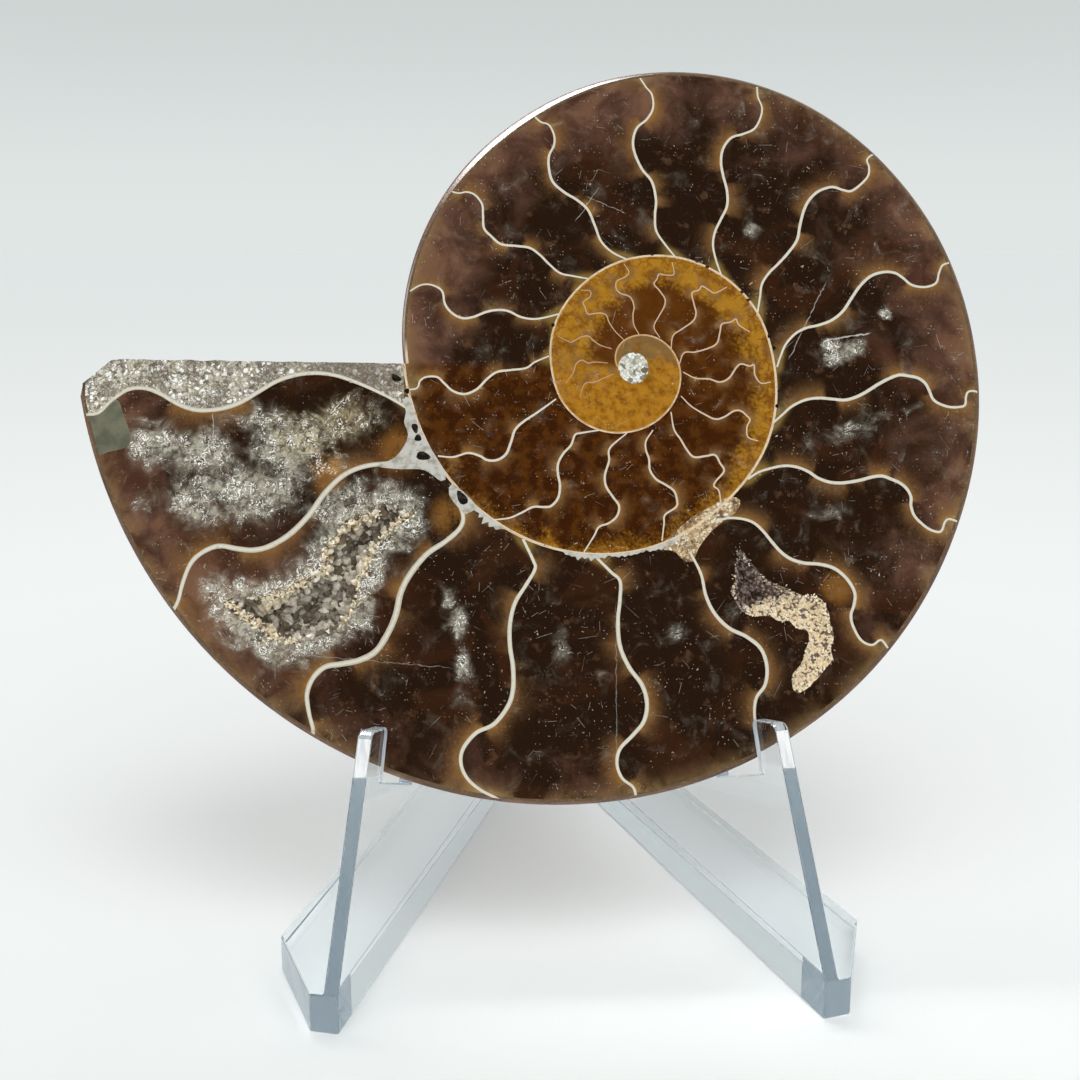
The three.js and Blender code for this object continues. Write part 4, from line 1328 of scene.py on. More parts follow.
def frosty_crystals_group():
    """Needles and veils of fine white crystals inside clear stone: how bright they are at a point."""
    group, w, given, result = new_group(
        "frosty_crystals",
        [("Cover", "NodeSocketFloat", 0.0)],
        [("Veil", "NodeSocketFloat"), ("Needles", "NodeSocketFloat")],
    )
    place = w.place()
    lumps = w.flat_noise(place, 0.3, 5.0, 0.62, 0.5)
    uneven = w.add(given["Cover"], w.times(w.math("SUBTRACT", lumps, 0.5), 1.7))
    haze = w.fade(uneven, 0.05, 0.95)
    cover = w.fade(uneven, 0.3, 0.95)
    swirl = w.node("TexNoise", {"Vector": place, "Scale": 1.1, "Detail": 2.0}, noise_dimensions="2D")
    bent = w.node("VectorMath", {0: swirl.outputs["Color"], "Scale": 0.9}, operation="SCALE").outputs[0]
    bent = w.node("VectorMath", {0: place, 1: bent}, operation="ADD").outputs[0]
    needles, facets = w.strokes(bent, 1.5, 0.36, 0.075, 0.6)
    for per_mm, length, width, share in ((2.4, 0.26, 0.06, 0.6), (3.8, 0.16, 0.05, 0.6)):
        more, flakes = w.strokes(bent, per_mm, length, width, share)
        needles = w.math("MAXIMUM", needles, more)
    grain = w.flat_noise(place, 0.9, 3.0, 0.6)
    facet_light = w.add(w.times(w.fade(facets, 0.35, 0.95), 0.45), w.times(w.fade(flakes, 0.45, 1.0), 0.55))
    soft = w.times(haze, w.add(w.times(w.fade(grain, 0.35, 0.65), 0.3), 0.16))
    veil = w.add(soft, w.times(cover, facet_light))
    patches = w.add(w.fade(w.flat_noise(place, 0.42, 4.0, 0.65), 0.44, 0.6), 0.1)
    bright = w.times(w.times(w.times(cover, 1.6), patches), needles)
    connect(w, result, Veil=w.math("MINIMUM", veil, 1.0), Needles=w.math("MINIMUM", bright, 1.0))
    return group


def packed_grains_group():
    """Packed grains of several sizes: a random number for each grain, its edges and its height."""
    group, w, given, result = new_group(
        "packed_grains",
        [("Grains per mm", "NodeSocketFloat", 2.0)],
        [("Number", "NodeSocketFloat"), ("Gaps", "NodeSocketFloat"), ("Height", "NodeSocketFloat")],
    )
    place = w.place()
    swirl = w.node("TexNoise", {"Vector": place, "Scale": 1.3}).outputs["Color"]
    uneven = w.node("VectorMath", {0: place, 1: swirl}, operation="ADD").outputs[0]
    per_mm = given["Grains per mm"]
    colour = w.cells(uneven, per_mm, output="Color")
    number = w.node("SeparateColor", {"Color": colour}).outputs[0]
    gaps = w.fade(w.cells(uneven, per_mm, "DISTANCE_TO_EDGE"), 0.14, 0.0)
    height = w.math("SUBTRACT", 1.0, w.cells(uneven, per_mm))
    connect(w, result, Number=number, Gaps=gaps, Height=height)
    return group


def cloudy_mottle_group():
    """Large soft clouds, with small ones in them, that vary a colour over the shell."""
    group, w, given, result = new_group(
        "cloudy_mottle",
        [("Lumps per mm", "NodeSocketFloat", 0.2)],
        [("Clouds", "NodeSocketFloat"), ("Grain", "NodeSocketFloat")],
    )
    place = w.place()
    clouds = w.noise(place, given["Lumps per mm"], 4.0, 0.6, 0.35)
    connect(w, result, Clouds=clouds, Grain=w.noise(place, 2.4, 4.0, 0.7))
    return group


# Colours of the calcite in the chambers, from the outer whorl to the middle
DEEP_BROWN = (0.02, 0.0085, 0.0035)
PURPLE_BROWN = (0.118, 0.056, 0.036)
LIGHT_BROWN = (0.2, 0.102, 0.055)
RED_BROWN = (0.055, 0.018, 0.006)
RUST = (0.085, 0.026, 0.003)
DARK_RUST = (0.042, 0.011, 0.0015)
OLD_RUST = (0.125, 0.037, 0.003)
LOBE_RUST = (0.17, 0.055, 0.008)
DEEP_AMBER = (0.3, 0.13, 0.025)
AMBER = (0.21, 0.105, 0.036)
GOLD = (0.4, 0.185, 0.012)
PALE_GOLD = (0.52, 0.3, 0.045)
DARK_HONEY = (0.22, 0.078, 0.004)
HONEY = (0.44, 0.195, 0.013)
BROWN_HONEY = (0.19, 0.115, 0.045)
TAN = (0.3, 0.19, 0.075)
OLIVE = (0.27, 0.165, 0.04)
# Frost and marks in it
FROST_WHITE = (0.93, 0.92, 0.86)
FROST_GREY = (0.5, 0.47, 0.37)
FROST_OLIVE = (0.42, 0.34, 0.19)
FROST_GOLD = (0.52, 0.28, 0.08)
FROST_WARM = (0.68, 0.6, 0.4)
MARK_WHITE = (0.66, 0.64, 0.6)
MARK_TAN = (0.62, 0.5, 0.36)
# The ages at which the second whorl starts and at which the middle of the spiral does
SECOND_WHORL = (0.372, 0.3755)
MIDDLE_WHORLS = (0.745, 0.79)
# Where the frost is olive and golden instead of grey, in the photograph's pixels, with its reach in mm
OLIVE_FROST = (345, 418, 7.5)
WARM_FROST = (300, 432, 5.0)
GOLDEN_FROST = (326, 468, 3.0)
# Where light glows through the calcite beside the septa
AMBER_SPOTS = [(402, 450, 4.2), (450, 516, 3.4), (330, 478, 2.6), (836, 588, 3.0)]
# Where the grit is darker
DARK_GRIT = (352, 362, 9.0)
# Single straight marks: where each starts and ends in the photograph, its width in mm and its strength
CRACKS = [
    ((213, 412), (214, 463), 0.09, 0.6),
    ((616, 600), (617, 770), 0.07, 0.25),
    ((827, 280), (788, 361), 0.08, 0.5),
    ((822, 341), (872, 333), 0.13, 0.7),
    ((600, 186), (575, 222), 0.06, 0.5),
    ((585, 196), (627, 214), 0.06, 0.45),
    ((455, 668), (300, 655), 0.06, 0.3),
]


def near_spot(w, place, px, py, reach):
    """1 at a pixel's place on the face, fading to 0 at a reach in mm."""
    x, y = face_point(px, py)
    away = w.node("VectorMath", {0: place, 1: (x, y, 0)}, operation="DISTANCE").outputs["Value"]
    return w.fade(away, reach, 0.3 * reach)


def straight_mark(w, place, first, last, width):
    """A mask for one broken straight mark on the face, between two pixels of the photograph."""
    start, end = face_point(*first), face_point(*last)
    step = end - start
    length = float(np.linalg.norm(step))
    turn = math.atan2(step[1], step[0])
    settings = {"Vector": place, "Location": (start[0], start[1], 0), "Rotation": (0, 0, turn)}
    sides = w.node("SeparateXYZ", {0: w.node("Mapping", settings, vector_type="TEXTURE").outputs[0]}).outputs
    bend = w.times(w.math("SUBTRACT", w.flat_noise(place, 0.9, 3.0, 0.6), 0.5), 0.5)
    across = w.fade(w.math("ABSOLUTE", w.add(sides["Y"], bend)), width, 0.3 * width)
    along = w.times(w.fade(sides["X"], 0.0, 0.1 * length), w.fade(sides["X"], length, 0.9 * length))
    broken = w.fade(w.flat_noise(place, 1.3, 4.0, 0.7), 0.3, 0.45)
    return w.times(w.times(across, along), broken)


def outer_whorl_colour(w, place, clouds, grain):
    """Deep brown towards the middle of the shell, purple-brown and light brown towards its rim."""
    rise, tone = w.attribute("rise"), w.attribute("tone")
    low = w.fade(w.node("SeparateXYZ", {0: place}).outputs["Y"], -27.0, -42.0)
    patches = w.flat_noise(place, 0.11, 3.0, 0.55, 0.8)
    outward = w.add(w.add(rise, w.times(clouds, 1.0)), w.add(w.times(tone, 0.24), w.times(grain, 0.12)))
    outward = w.math("SUBTRACT", outward, w.times(low, 0.34))
    colour = w.mix(w.fade(outward, 1.12, 1.72), DEEP_BROWN, PURPLE_BROWN)
    colour = w.tint(colour, LIGHT_BROWN, w.fade(outward, 1.48, 1.8), 0.8)
    colour = w.tint(colour, RED_BROWN, w.fade(patches, 0.5, 0.66), 0.5)
    specks = w.fade(w.flat_noise(place, 0.45, 4.0, 0.65), 0.58, 0.78)
    return w.tint(colour, LIGHT_BROWN, specks, 0.35)


def second_whorl_colour(w, place, clouds, grain):
    """Rust-red chambers that turn to gold towards the wall, with small lobes of deeper colour there."""
    age, rise, seam = w.attribute("age"), w.attribute("rise"), w.attribute("seam")
    colour = w.mix(w.fade(w.flat_noise(place, 0.6, 3.0, 0.6), 0.4, 0.65), DARK_RUST, RUST)
    colour = w.tint(colour, OLD_RUST, w.fade(age, 0.48, 0.66), 0.65)
    golden = w.add(w.add(rise, w.times(age, 2.0)), w.add(w.times(clouds, 0.6), w.times(grain, 0.3)))
    gold = w.mix(w.fade(w.flat_noise(place, 0.55, 4.0, 0.55), 0.3, 0.6), DARK_HONEY, GOLD)
    gold = w.tint(gold, PALE_GOLD, w.fade(grain, 0.45, 0.85), 0.4)
    colour = w.mix(w.fade(golden, 2.2, 2.46), colour, gold)
    lobes = w.cells(place, 0.72, "DISTANCE_TO_EDGE")
    lobed = w.times(w.fade(lobes, 0.09, 0.02), w.times(w.fade(seam, 1.9, 1.0), w.fade(golden, 2.2, 2.4)))
    return w.tint(colour, LOBE_RUST, lobed, 0.6)


def chamber_colour(w):
    """Calcite: deep brown to purple-brown in the outer whorl, rust and gold in the next, honey inside."""
    age, near, seam = w.attribute("age"), w.attribute("near"), w.attribute("seam")
    rise, glow = w.attribute("rise"), w.attribute("glow")
    place = w.place()
    clouds = w.flat_noise(place, 0.17, 4.0, 0.6, 0.35)
    grain = w.flat_noise(place, 2.2, 4.0, 0.7)
    outer = outer_whorl_colour(w, place, clouds, grain)
    middle = second_whorl_colour(w, place, clouds, grain)
    fine = w.add(w.times(w.flat_noise(place, 0.8, 4.0, 0.6), 0.7), w.times(grain, 0.3))
    inner = w.mix(w.fade(fine, 0.3, 0.62), DARK_HONEY, HONEY)
    height = w.node("SeparateXYZ", {0: place}).outputs["Y"]
    brownish = w.add(w.times(height, 0.12), w.flat_noise(place, 0.5, 3.0))
    inner = w.tint(inner, BROWN_HONEY, w.fade(brownish, 0.45, 0.75), 0.8)
    colour = w.mix(w.fade(age, *SECOND_WHORL), outer, middle)
    colour = w.mix(w.fade(w.add(age, w.times(clouds, 0.04)), *MIDDLE_WHORLS), colour, inner)
    cloudy = w.fade(w.add(clouds, w.times(grain, 0.4)), 0.45, 0.8)
    for spot in AMBER_SPOTS:
        colour = w.tint(colour, DEEP_AMBER, w.times(near_spot(w, place, *spot), cloudy), 0.65)
    lit = w.times(glow, w.add(w.times(clouds, 1.1), w.times(grain, 0.6)))
    colour = w.tint(colour, AMBER, w.fade(lit, 0.1, 0.7), 0.8)
    colour = w.tint(colour, GOLD, w.fade(lit, 0.55, 0.95), 0.45)
    outermost = w.fade(age, 0.4, 0.372)
    wedge = w.times(w.times(w.near_to(seam, 1.5), w.near_to(near, 1.0)), outermost)
    wedge_colour = w.mix(w.fade(rise, 0.4, 0.7), OLIVE, TAN)
    colour = w.tint(colour, wedge_colour, w.fade(w.times(wedge, w.add(clouds, 0.5)), 0.1, 0.45), 0.7)
    rim = w.times(w.times(w.near_to(seam, 1.0), w.fade(rise, 0.88, 0.97)), outermost)
    return w.tint(colour, TAN, w.times(rim, w.fade(clouds, 0.36, 0.6)), 0.85)


def make_chamber_calcite():
    """Polished calcite, clear and coloured, with frost inside and flecks, scratches and cracks on it."""
    material, w, finish = new_finish("chamber_calcite")
    colour = chamber_colour(w)
    place = w.place()
    frost = w.use("frosty_crystals", {"Cover": w.attribute("frost")})
    veil_colour = w.mix(near_spot(w, place, *OLIVE_FROST), FROST_GREY, FROST_OLIVE)
    veil_colour = w.mix(near_spot(w, place, *WARM_FROST), veil_colour, FROST_WARM)
    veil_colour = w.mix(near_spot(w, place, *GOLDEN_FROST), veil_colour, FROST_GOLD)
    colour = w.tint(colour, veil_colour, frost["Veil"], 0.85)
    colour = w.mix(frost["Needles"], colour, FROST_WHITE)
    marks = w.use("polish_marks", {"Amount": 0.6})
    fleck_colour = w.mix(w.fade(w.flat_noise(place, 1.4, 2.0), 0.42, 0.58), MARK_WHITE, MARK_TAN)
    colour = w.tint(colour, MARK_WHITE, marks["Scratches"], 0.45)
    colour = w.tint(colour, fleck_colour, marks["Flecks"], 0.85)
    for first, last, width, strength in CRACKS:
        colour = w.tint(colour, MARK_WHITE, straight_mark(w, place, first, last, width), strength)
    rough = w.add(w.times(w.flat_noise(place, 1.1, 3.0), 0.08), w.times(marks["Scratches"], 0.2))
    height = w.add(w.times(marks["Scratches"], -0.6), w.times(marks["Flecks"], -0.8))
    connect(w, finish, Base_Color=colour, Roughness=w.add(rough, 0.06), IOR=1.55,
            Normal=w.bump(height, 0.35, 0.03))
    return material


# Colours of the septa and of the shell's wall, paler outside and browner in the middle
SEPTUM_CREAM = (0.7, 0.67, 0.56)
SEPTUM_EDGE = (0.5, 0.45, 0.35)
OLD_SEPTUM = (0.66, 0.5, 0.36)
INNER_SEPTUM = (0.5, 0.27, 0.12)
SEPTUM_STAIN = (0.42, 0.36, 0.28)
WALL_CREAM = (0.76, 0.6, 0.4)
INNER_WALL = (0.58, 0.36, 0.15)
RIM_SHELL = (0.13, 0.085, 0.045)
WALL_STAIN = (0.34, 0.21, 0.1)


def make_septum():
    material, w, finish = new_finish("septum_calcite")
    age, near = w.attribute("age"), w.attribute("near")
    grain = w.flat_noise(w.place(), 2.2, 3.0, 0.6)
    colour = w.mix(w.fade(near, 0.05, 0.3), SEPTUM_CREAM, SEPTUM_EDGE)
    colour = w.mix(w.fade(age, 0.36, 0.6), colour, OLD_SEPTUM)
    colour = w.mix(w.fade(age, 0.5, 0.85), colour, INNER_SEPTUM)
    colour = w.tint(colour, SEPTUM_STAIN, w.fade(grain, 0.52, 0.75), 0.3)
    connect(w, finish, Base_Color=colour, Roughness=0.22, Normal=w.bump(grain, 0.15, 0.02))
    return material


def make_wall():
    material, w, finish = new_finish("shell_wall")
    age, rise = w.attribute("age"), w.attribute("rise")
    grain = w.flat_noise(w.place(), 1.8, 4.0, 0.65)
    colour = w.mix(w.fade(age, 0.4, 0.85), WALL_CREAM, INNER_WALL)
    outermost = w.times(w.fade(age, 0.372, 0.366), w.fade(rise, 0.6, 0.8))
    colour = w.mix(outermost, colour, RIM_SHELL)
    colour = w.tint(colour, WALL_STAIN, w.fade(grain, 0.48, 0.7), 0.4)
    connect(w, finish, Base_Color=colour, Roughness=0.25, Normal=w.bump(grain, 0.2, 0.03))
    return material


# Colours of the grit that fills the body chamber, and of the mud in its left corner
GRIT_GRAINS = [
    (0.0, (0.15, 0.125, 0.08)), (0.25, (0.42, 0.38, 0.28)), (0.5, (0.7, 0.66, 0.53)),
    (0.75, (0.36, 0.31, 0.22)), (1.0, (0.96, 0.94, 0.84)),
]
GREY_BLOB = (0.72, 0.7, 0.62)
WHITE_BLOB = (0.99, 0.98, 0.95)
BLOB_GAP = (0.13, 0.105, 0.08)
GRAIN_GAP = (0.055, 0.043, 0.035)
MURKY_GRIT = (0.17, 0.125, 0.09)
SHADED_GRIT = (0.16, 0.12, 0.085)
DARK_MUD = (0.105, 0.105, 0.066)
PALE_MUD = (0.17, 0.165, 0.105)
MUD_GRAIN = (0.06, 0.058, 0.04)
MUD_FLECK = (0.4, 0.36, 0.27)


def make_grit():
    material, w, finish = new_finish("cemented_grit")
    coarse = w.use("packed_grains", {"Grains per mm": 1.5})
    fine = w.use("packed_grains", {"Grains per mm": 2.8})
    blobs = w.times(w.fade(coarse["Number"], 0.4, 0.46), w.fade(coarse["Height"], 0.56, 0.66))
    blob_colour = w.mix(w.fade(coarse["Number"], 0.5, 0.7), GREY_BLOB, WHITE_BLOB)
    colour = w.mix(blobs, w.ramp(fine["Number"], GRIT_GRAINS), blob_colour)
    colour = w.tint(colour, BLOB_GAP, w.fade(coarse["Gaps"], 0.3, 0.9), 0.6)
    murky = w.flat_noise(w.place(), 0.28, 4.0, 0.6)
    dark = w.times(w.fade(fine["Gaps"], 0.2, 0.8), w.fade(murky, 0.35, 0.6))
    colour = w.tint(colour, GRAIN_GAP, dark, 0.85)
    colour = w.tint(colour, MURKY_GRIT, w.fade(murky, 0.54, 0.68), 0.55)
    colour = w.tint(colour, SHADED_GRIT, near_spot(w, w.place(), *DARK_GRIT), 0.6)
    height = w.add(w.times(fine["Height"], 0.4), coarse["Height"])
    connect(w, finish, Base_Color=colour, Roughness=0.35, Normal=w.bump(height, 0.5, 0.12))
    return material


def make_mud():
    material, w, finish = new_finish("grey_mud")
    mottle = w.use("cloudy_mottle", {"Lumps per mm": 0.5})
    colour = w.mix(w.fade(mottle["Clouds"], 0.35, 0.65), DARK_MUD, PALE_MUD)
    colour = w.tint(colour, MUD_GRAIN, w.fade(mottle["Grain"], 0.55, 0.7), 0.4)
    marks = w.use("polish_marks", {"Amount": 0.3})
    colour = w.tint(colour, MUD_FLECK, marks["Flecks"], 0.5)
    connect(w, finish, Base_Color=colour, Roughness=0.4)
    return material


# Colours of the small things on the face: cream crumbs, pale junctions, dark bubbles, the first chamber
CRUMB_GRAINS = [
    (0.0, (0.3, 0.17, 0.06)), (0.4, (0.62, 0.42, 0.2)), (0.75, (0.75, 0.6, 0.38)), (1.0, (0.85, 0.78, 0.62)),
]
CRUMB_BROWN = (0.16, 0.085, 0.03)
CRUMB_GAP = (0.07, 0.035, 0.015)
JUNCTION_WHITE = (0.56, 0.55, 0.5)
JUNCTION_GREY = (0.36, 0.33, 0.27)
BUBBLE_BLACK = (0.012, 0.009, 0.007)
BUBBLE_BROWN = (0.05, 0.036, 0.028)
INNER_BUBBLE = (0.11, 0.03, 0.008)
CENTRE_GRAINS = [
    (0.0, (0.14, 0.12, 0.07)), (0.25, (0.45, 0.44, 0.34)), (0.5, (0.74, 0.75, 0.66)), (1.0, (0.9, 0.9, 0.86)),
]
CENTRE_GAP = (0.2, 0.17, 0.11)


def make_crumbs():
    material, w, finish = new_finish("cream_crumbs")
    grains = w.use("packed_grains", {"Grains per mm": 2.6})
    clouds = w.noise(w.place(), 0.6, 3.0, 0.6)
    colour = w.mix(w.fade(clouds, 0.5, 0.62), w.ramp(grains["Number"], CRUMB_GRAINS), CRUMB_BROWN)
    colour = w.tint(colour, CRUMB_GAP, grains["Gaps"], 0.7)
    connect(w, finish, Base_Color=colour, Roughness=0.45, Normal=w.bump(grains["Height"], 0.5, 0.1))
    return material


def make_pale_junction():
    material, w, finish = new_finish("pale_junction")
    clouds = w.noise(w.place(), 0.9, 4.0, 0.6)
    colour = w.mix(w.fade(clouds, 0.45, 0.65), JUNCTION_WHITE, JUNCTION_GREY)
    connect(w, finish, Base_Color=colour, Roughness=0.25, Normal=w.bump(clouds, 0.2, 0.05))
    return material


def make_bubble():
    material, w, finish = new_finish("dark_bubble")
    mottle = w.use("cloudy_mottle", {"Lumps per mm": 1.2})
    colour = w.mix(w.fade(mottle["Clouds"], 0.45, 0.65), BUBBLE_BLACK, BUBBLE_BROWN)
    colour = w.mix(w.fade(w.attribute("age"), 0.4, 0.6), colour, INNER_BUBBLE)
    connect(w, finish, Base_Color=colour, Roughness=0.15)
    return material


def make_centre_crystals():
    material, w, finish = new_finish("centre_crystals")
    grains = w.use("packed_grains", {"Grains per mm": 2.1})
    colour = w.ramp(grains["Number"], CENTRE_GRAINS)
    colour = w.tint(colour, CENTRE_GAP, grains["Gaps"], 0.55)
    connect(w, finish, Base_Color=colour, Roughness=0.25, Normal=w.bump(grains["Height"], 0.5, 0.1))
    return material


# Colours of the sides that aren't cut: the shell's own back, the broken mouth, the stone behind the crystals
SHELL_CLOUDS = [
    (0.3, (0.045, 0.017, 0.01)), (0.45, (0.13, 0.055, 0.03)),
    (0.56, (0.3, 0.17, 0.09)), (0.72, (0.52, 0.39, 0.25)),
]
GROWTH_BAND = (0.34, 0.12, 0.05)
SHELL_RIM = (0.085, 0.038, 0.026)
SHELL_FLECK = (0.6, 0.5, 0.38)
BANDS_PER_AGE = 420.0
MOUTH_GRAINS = [
    (0.0, (0.12, 0.1, 0.075)), (0.5, (0.34, 0.31, 0.26)), (0.85, (0.5, 0.47, 0.4)), (1.0, (0.72, 0.7, 0.64)),
]
MOUTH_STAIN = (0.17, 0.11, 0.075)
MOUTH_GAP = (0.06, 0.045, 0.035)
HOLLOW_GRAINS = [(0.0, (0.02, 0.014, 0.01)), (0.6, (0.09, 0.07, 0.05)), (1.0, (0.3, 0.26, 0.2))]


def make_shell_back():
    """The shell's own outside: brown and cream, with bands of growth and a faint pearly gloss."""
    material, w, finish = new_finish("shell_back")
    age, rise = w.attribute("age"), w.attribute("rise")
    mottle = w.use("cloudy_mottle", {"Lumps per mm": 0.13})
    bands = w.math("SINE", w.add(w.times(age, BANDS_PER_AGE), w.times(mottle["Clouds"], 9.0)))
    clouds = w.add(w.times(mottle["Clouds"], 0.75), w.times(mottle["Grain"], 0.25))
    colour = w.tint(w.ramp(clouds, SHELL_CLOUDS), GROWTH_BAND, w.fade(bands, 0.2, 1.0), 0.25)
    colour = w.tint(colour, SHELL_RIM, w.fade(rise, 0.93, 1.0), 0.6)
    marks = w.use("polish_marks", {"Amount": 0.4})
    colour = w.tint(colour, SHELL_FLECK, marks["Flecks"], 0.5)
    height = w.add(w.times(bands, 0.4), mottle["Grain"])
    rough = w.add(w.times(mottle["Grain"], 0.2), 0.12)
    connect(w, finish, Base_Color=colour, Roughness=rough, Normal=w.bump(height, 0.25, 0.08))
    connect(w, finish, Coat_Weight=0.3, Coat_Roughness=0.1)
    return material


def make_broken_mouth():
    material, w, finish = new_finish("broken_mouth")
    grains = w.use("packed_grains", {"Grains per mm": 1.4})
    mottle = w.use("cloudy_mottle", {"Lumps per mm": 0.3})
    colour = w.mix(w.fade(mottle["Clouds"], 0.5, 0.62), w.ramp(grains["Number"], MOUTH_GRAINS), MOUTH_STAIN)
    colour = w.tint(colour, MOUTH_GAP, grains["Gaps"], 0.5)
    height = w.add(grains["Height"], mottle["Grain"])
    connect(w, finish, Base_Color=colour, Roughness=0.6, Normal=w.bump(height, 0.6, 0.2))
    return material


def make_hollow_wall():
    material, w, finish = new_finish("hollow_wall")
    grains = w.use("packed_grains", {"Grains per mm": 2.0})
    colour = w.ramp(grains["Number"], HOLLOW_GRAINS)
    connect(w, finish, Base_Color=colour, Roughness=0.35, Normal=w.bump(grains["Height"], 0.6, 0.2))
    return material


# Colours of each hollow's crystals: the darkest and the palest bare one, their cream crust and its edge
GREY_CRYSTALS = [(0.15, 0.115, 0.08), (0.86, 0.8, 0.68), (0.98, 0.93, 0.76), (0.84, 0.65, 0.38)]
SUGARY_CRYSTALS = [(0.06, 0.034, 0.024), (0.44, 0.34, 0.29), (1.0, 0.93, 0.76), (0.86, 0.66, 0.38)]
WHITE_CRUST = (0.85, 0.82, 0.74)


def make_hollow_crystals(name, dark, light, coat, coat_edge):
    """Small clear crystals that a cream crust covers in places; every crystal has a shade of its own."""
    material, w, finish = new_finish(name)
    shade, cream = w.attribute("shade"), w.attribute("cream")
    grain = w.noise(w.place(), 3.2, 4.0, 0.65)
    mottled = w.add(shade, w.times(w.math("SUBTRACT", grain, 0.5), 0.6))
    bare = w.mix(w.fade(mottled, 0.2, 1.0), dark, light)
    crust = w.mix(w.fade(grain, 0.42, 0.6), coat_edge, coat)
    crust = w.tint(crust, WHITE_CRUST, w.fade(shade, 0.72, 0.95), 0.6)
    cover = w.fade(w.add(cream, w.times(w.math("SUBTRACT", shade, 0.5), 0.55)), 0.4, 0.62)
    rough = w.add(w.times(cover, 0.35), 0.12)
    connect(w, finish, Base_Color=w.mix(cover, bare, crust), Roughness=rough, IOR=1.5,
            Normal=w.bump(grain, 0.3, 0.06))
    return material


# Colours of the acrylic: the sheet's surface, what is left of light through its length, and the lips' edges,
# whose white is partly painted reflection of bright light
CLEAR_SHEET = (0.97, 0.985, 0.99)
SHEET_TINT = (0.46, 0.565, 0.655)
TINT_DENSITY = 15.0
EDGE_WHITE_AND_GLARE = (0.93, 0.94, 0.94)
EDGE_GREY = (0.7, 0.72, 0.73)


def make_acrylic():
    """Clear sheet, blue-grey through its length, with front edges a little rough from the saw."""
    material, w, finish = new_finish("acrylic_sheet")
    streaks = w.noise(w.turned(w.place(), 25, (6.0, 0.5, 0.7)), 1.0, 3.0)
    towards = w.node("SeparateXYZ", {0: w.node("NewGeometry").outputs["Normal"]}).outputs["Y"]
    front = w.fade(towards, -0.7, -0.85)
    rough = w.add(w.times(w.fade(streaks, 0.5, 0.8), 0.05), w.add(w.times(front, 0.3), 0.02))
    connect(w, finish, Base_Color=CLEAR_SHEET, Roughness=rough, Normal=w.bump(streaks, 0.012, 0.04))
    connect(w, finish, IOR=1.49, Transmission_Weight=1.0)
    absorbed = w.node("VolumeAbsorption", {"Color": SHEET_TINT, "Density": TINT_DENSITY})
    connect(w, w.tree.nodes["Material Output"].inputs, Volume=absorbed.outputs[0])
    return material


def make_lip_edge_and_glare():
    """The white edges of the stand's lips: partly a cloudy edge, partly a painted reflection of the bright
    light that the clear edge catches.
    """
    material, w, finish = new_finish("lip_edge_and_glare")
    streaks = w.noise(w.turned(w.place(), 0, (0.5, 4.0, 0.5)), 1.0, 3.0)
    # Painted reflection: the white stands partly for bright light reflected and scattered in the clear edge.
    colour = w.mix(w.fade(streaks, 0.35, 0.7), EDGE_WHITE_AND_GLARE, EDGE_GREY)
    connect(w, finish, Base_Color=colour, Roughness=0.3, Normal=w.bump(streaks, 0.2, 0.05))
    return material


# The white floor: its colour near the fossil and a greyer painted shade far away, where the light falls off,
# and where it starts to change and how far that takes, in metres
FLOOR_NEAR = (0.86, 0.885, 0.88)
FLOOR_FAR_SHADE = (0.716, 0.751, 0.744)
FLOOR_START = 0.18
FLOOR_CHANGE = 0.45
FLOOR_SIZE = 6.0
FLOOR_LEVEL = -0.05 * MM


def make_floor_white():
    """White near the fossil and a little greyer far from it: painted shade for the light that falls off with
    distance.
    """
    material, w, finish = new_finish("studio_white")
    coordinates = w.node("TexCoord").outputs["Object"]
    away = w.node("VectorMath", {0: coordinates}, operation="LENGTH").outputs["Value"]
    past = w.math("MAXIMUM", w.math("SUBTRACT", away, FLOOR_START), 0.0)
    near = w.near_to(past, FLOOR_CHANGE)
    # Painted shade: the floor greys with distance from the fossil, as the studio light falls off.
    connect(w, finish, Base_Color=w.mix(near, FLOOR_FAR_SHADE, FLOOR_NEAR), Roughness=0.9, Specular_IOR_Level=0.0)
    return material


# The effects that several materials share
SHARED = {
    "polish_marks": polish_marks_group(),
    "frosty_crystals": frosty_crystals_group(),
    "packed_grains": packed_grains_group(),
    "cloudy_mottle": cloudy_mottle_group(),
}


def make_camera():
    data = bpy.data.cameras.new("photo_camera")
    data.sensor_width = SENSOR_WIDTH
    data.sensor_fit = "HORIZONTAL"
    data.lens = SENSOR_WIDTH * FOCAL_PIXELS / PHOTO_SIZE
    data.clip_start = 0.01
    camera = bpy.data.objects.new("photo_camera", data)
    bpy.context.scene.collection.objects.link(camera)
    turned = Matrix((CAMERA_RIGHT, CAMERA_UP, CAMERA_BACK)).transposed().to_4x4()
    camera.matrix_world = Matrix.Translation(CAMERA_EYE) @ turned
    bpy.context.scene.camera = camera


def make_floor(material):
    """A wide floor, just under the stand so that the stand's underside isn't one with it."""
    mesh = bpy.data.meshes.new("floor")
    sides = ((-1, -1), (1, -1), (1, 1), (-1, 1))
    corners = [(x * FLOOR_SIZE, y * FLOOR_SIZE, FLOOR_LEVEL) for x, y in sides]
    mesh.from_pydata(corners, [], [(0, 1, 2, 3)])
    mesh.materials.append(material)
    floor = bpy.data.objects.new("floor", mesh)
    bpy.context.scene.collection.objects.link(floor)


def make_sky_light(name, towards, width, strength):
    """An even light from far away, as wide as this many degrees."""
    data = bpy.data.lights.new(name, "SUN")
    data.angle = math.radians(width)
    data.energy = strength
    light = bpy.data.objects.new(name, data)
    bpy.context.scene.collection.objects.link(light)
    light.rotation_euler = towards.to_track_quat("Z", "Y").to_euler()
    light.visible_glossy = False


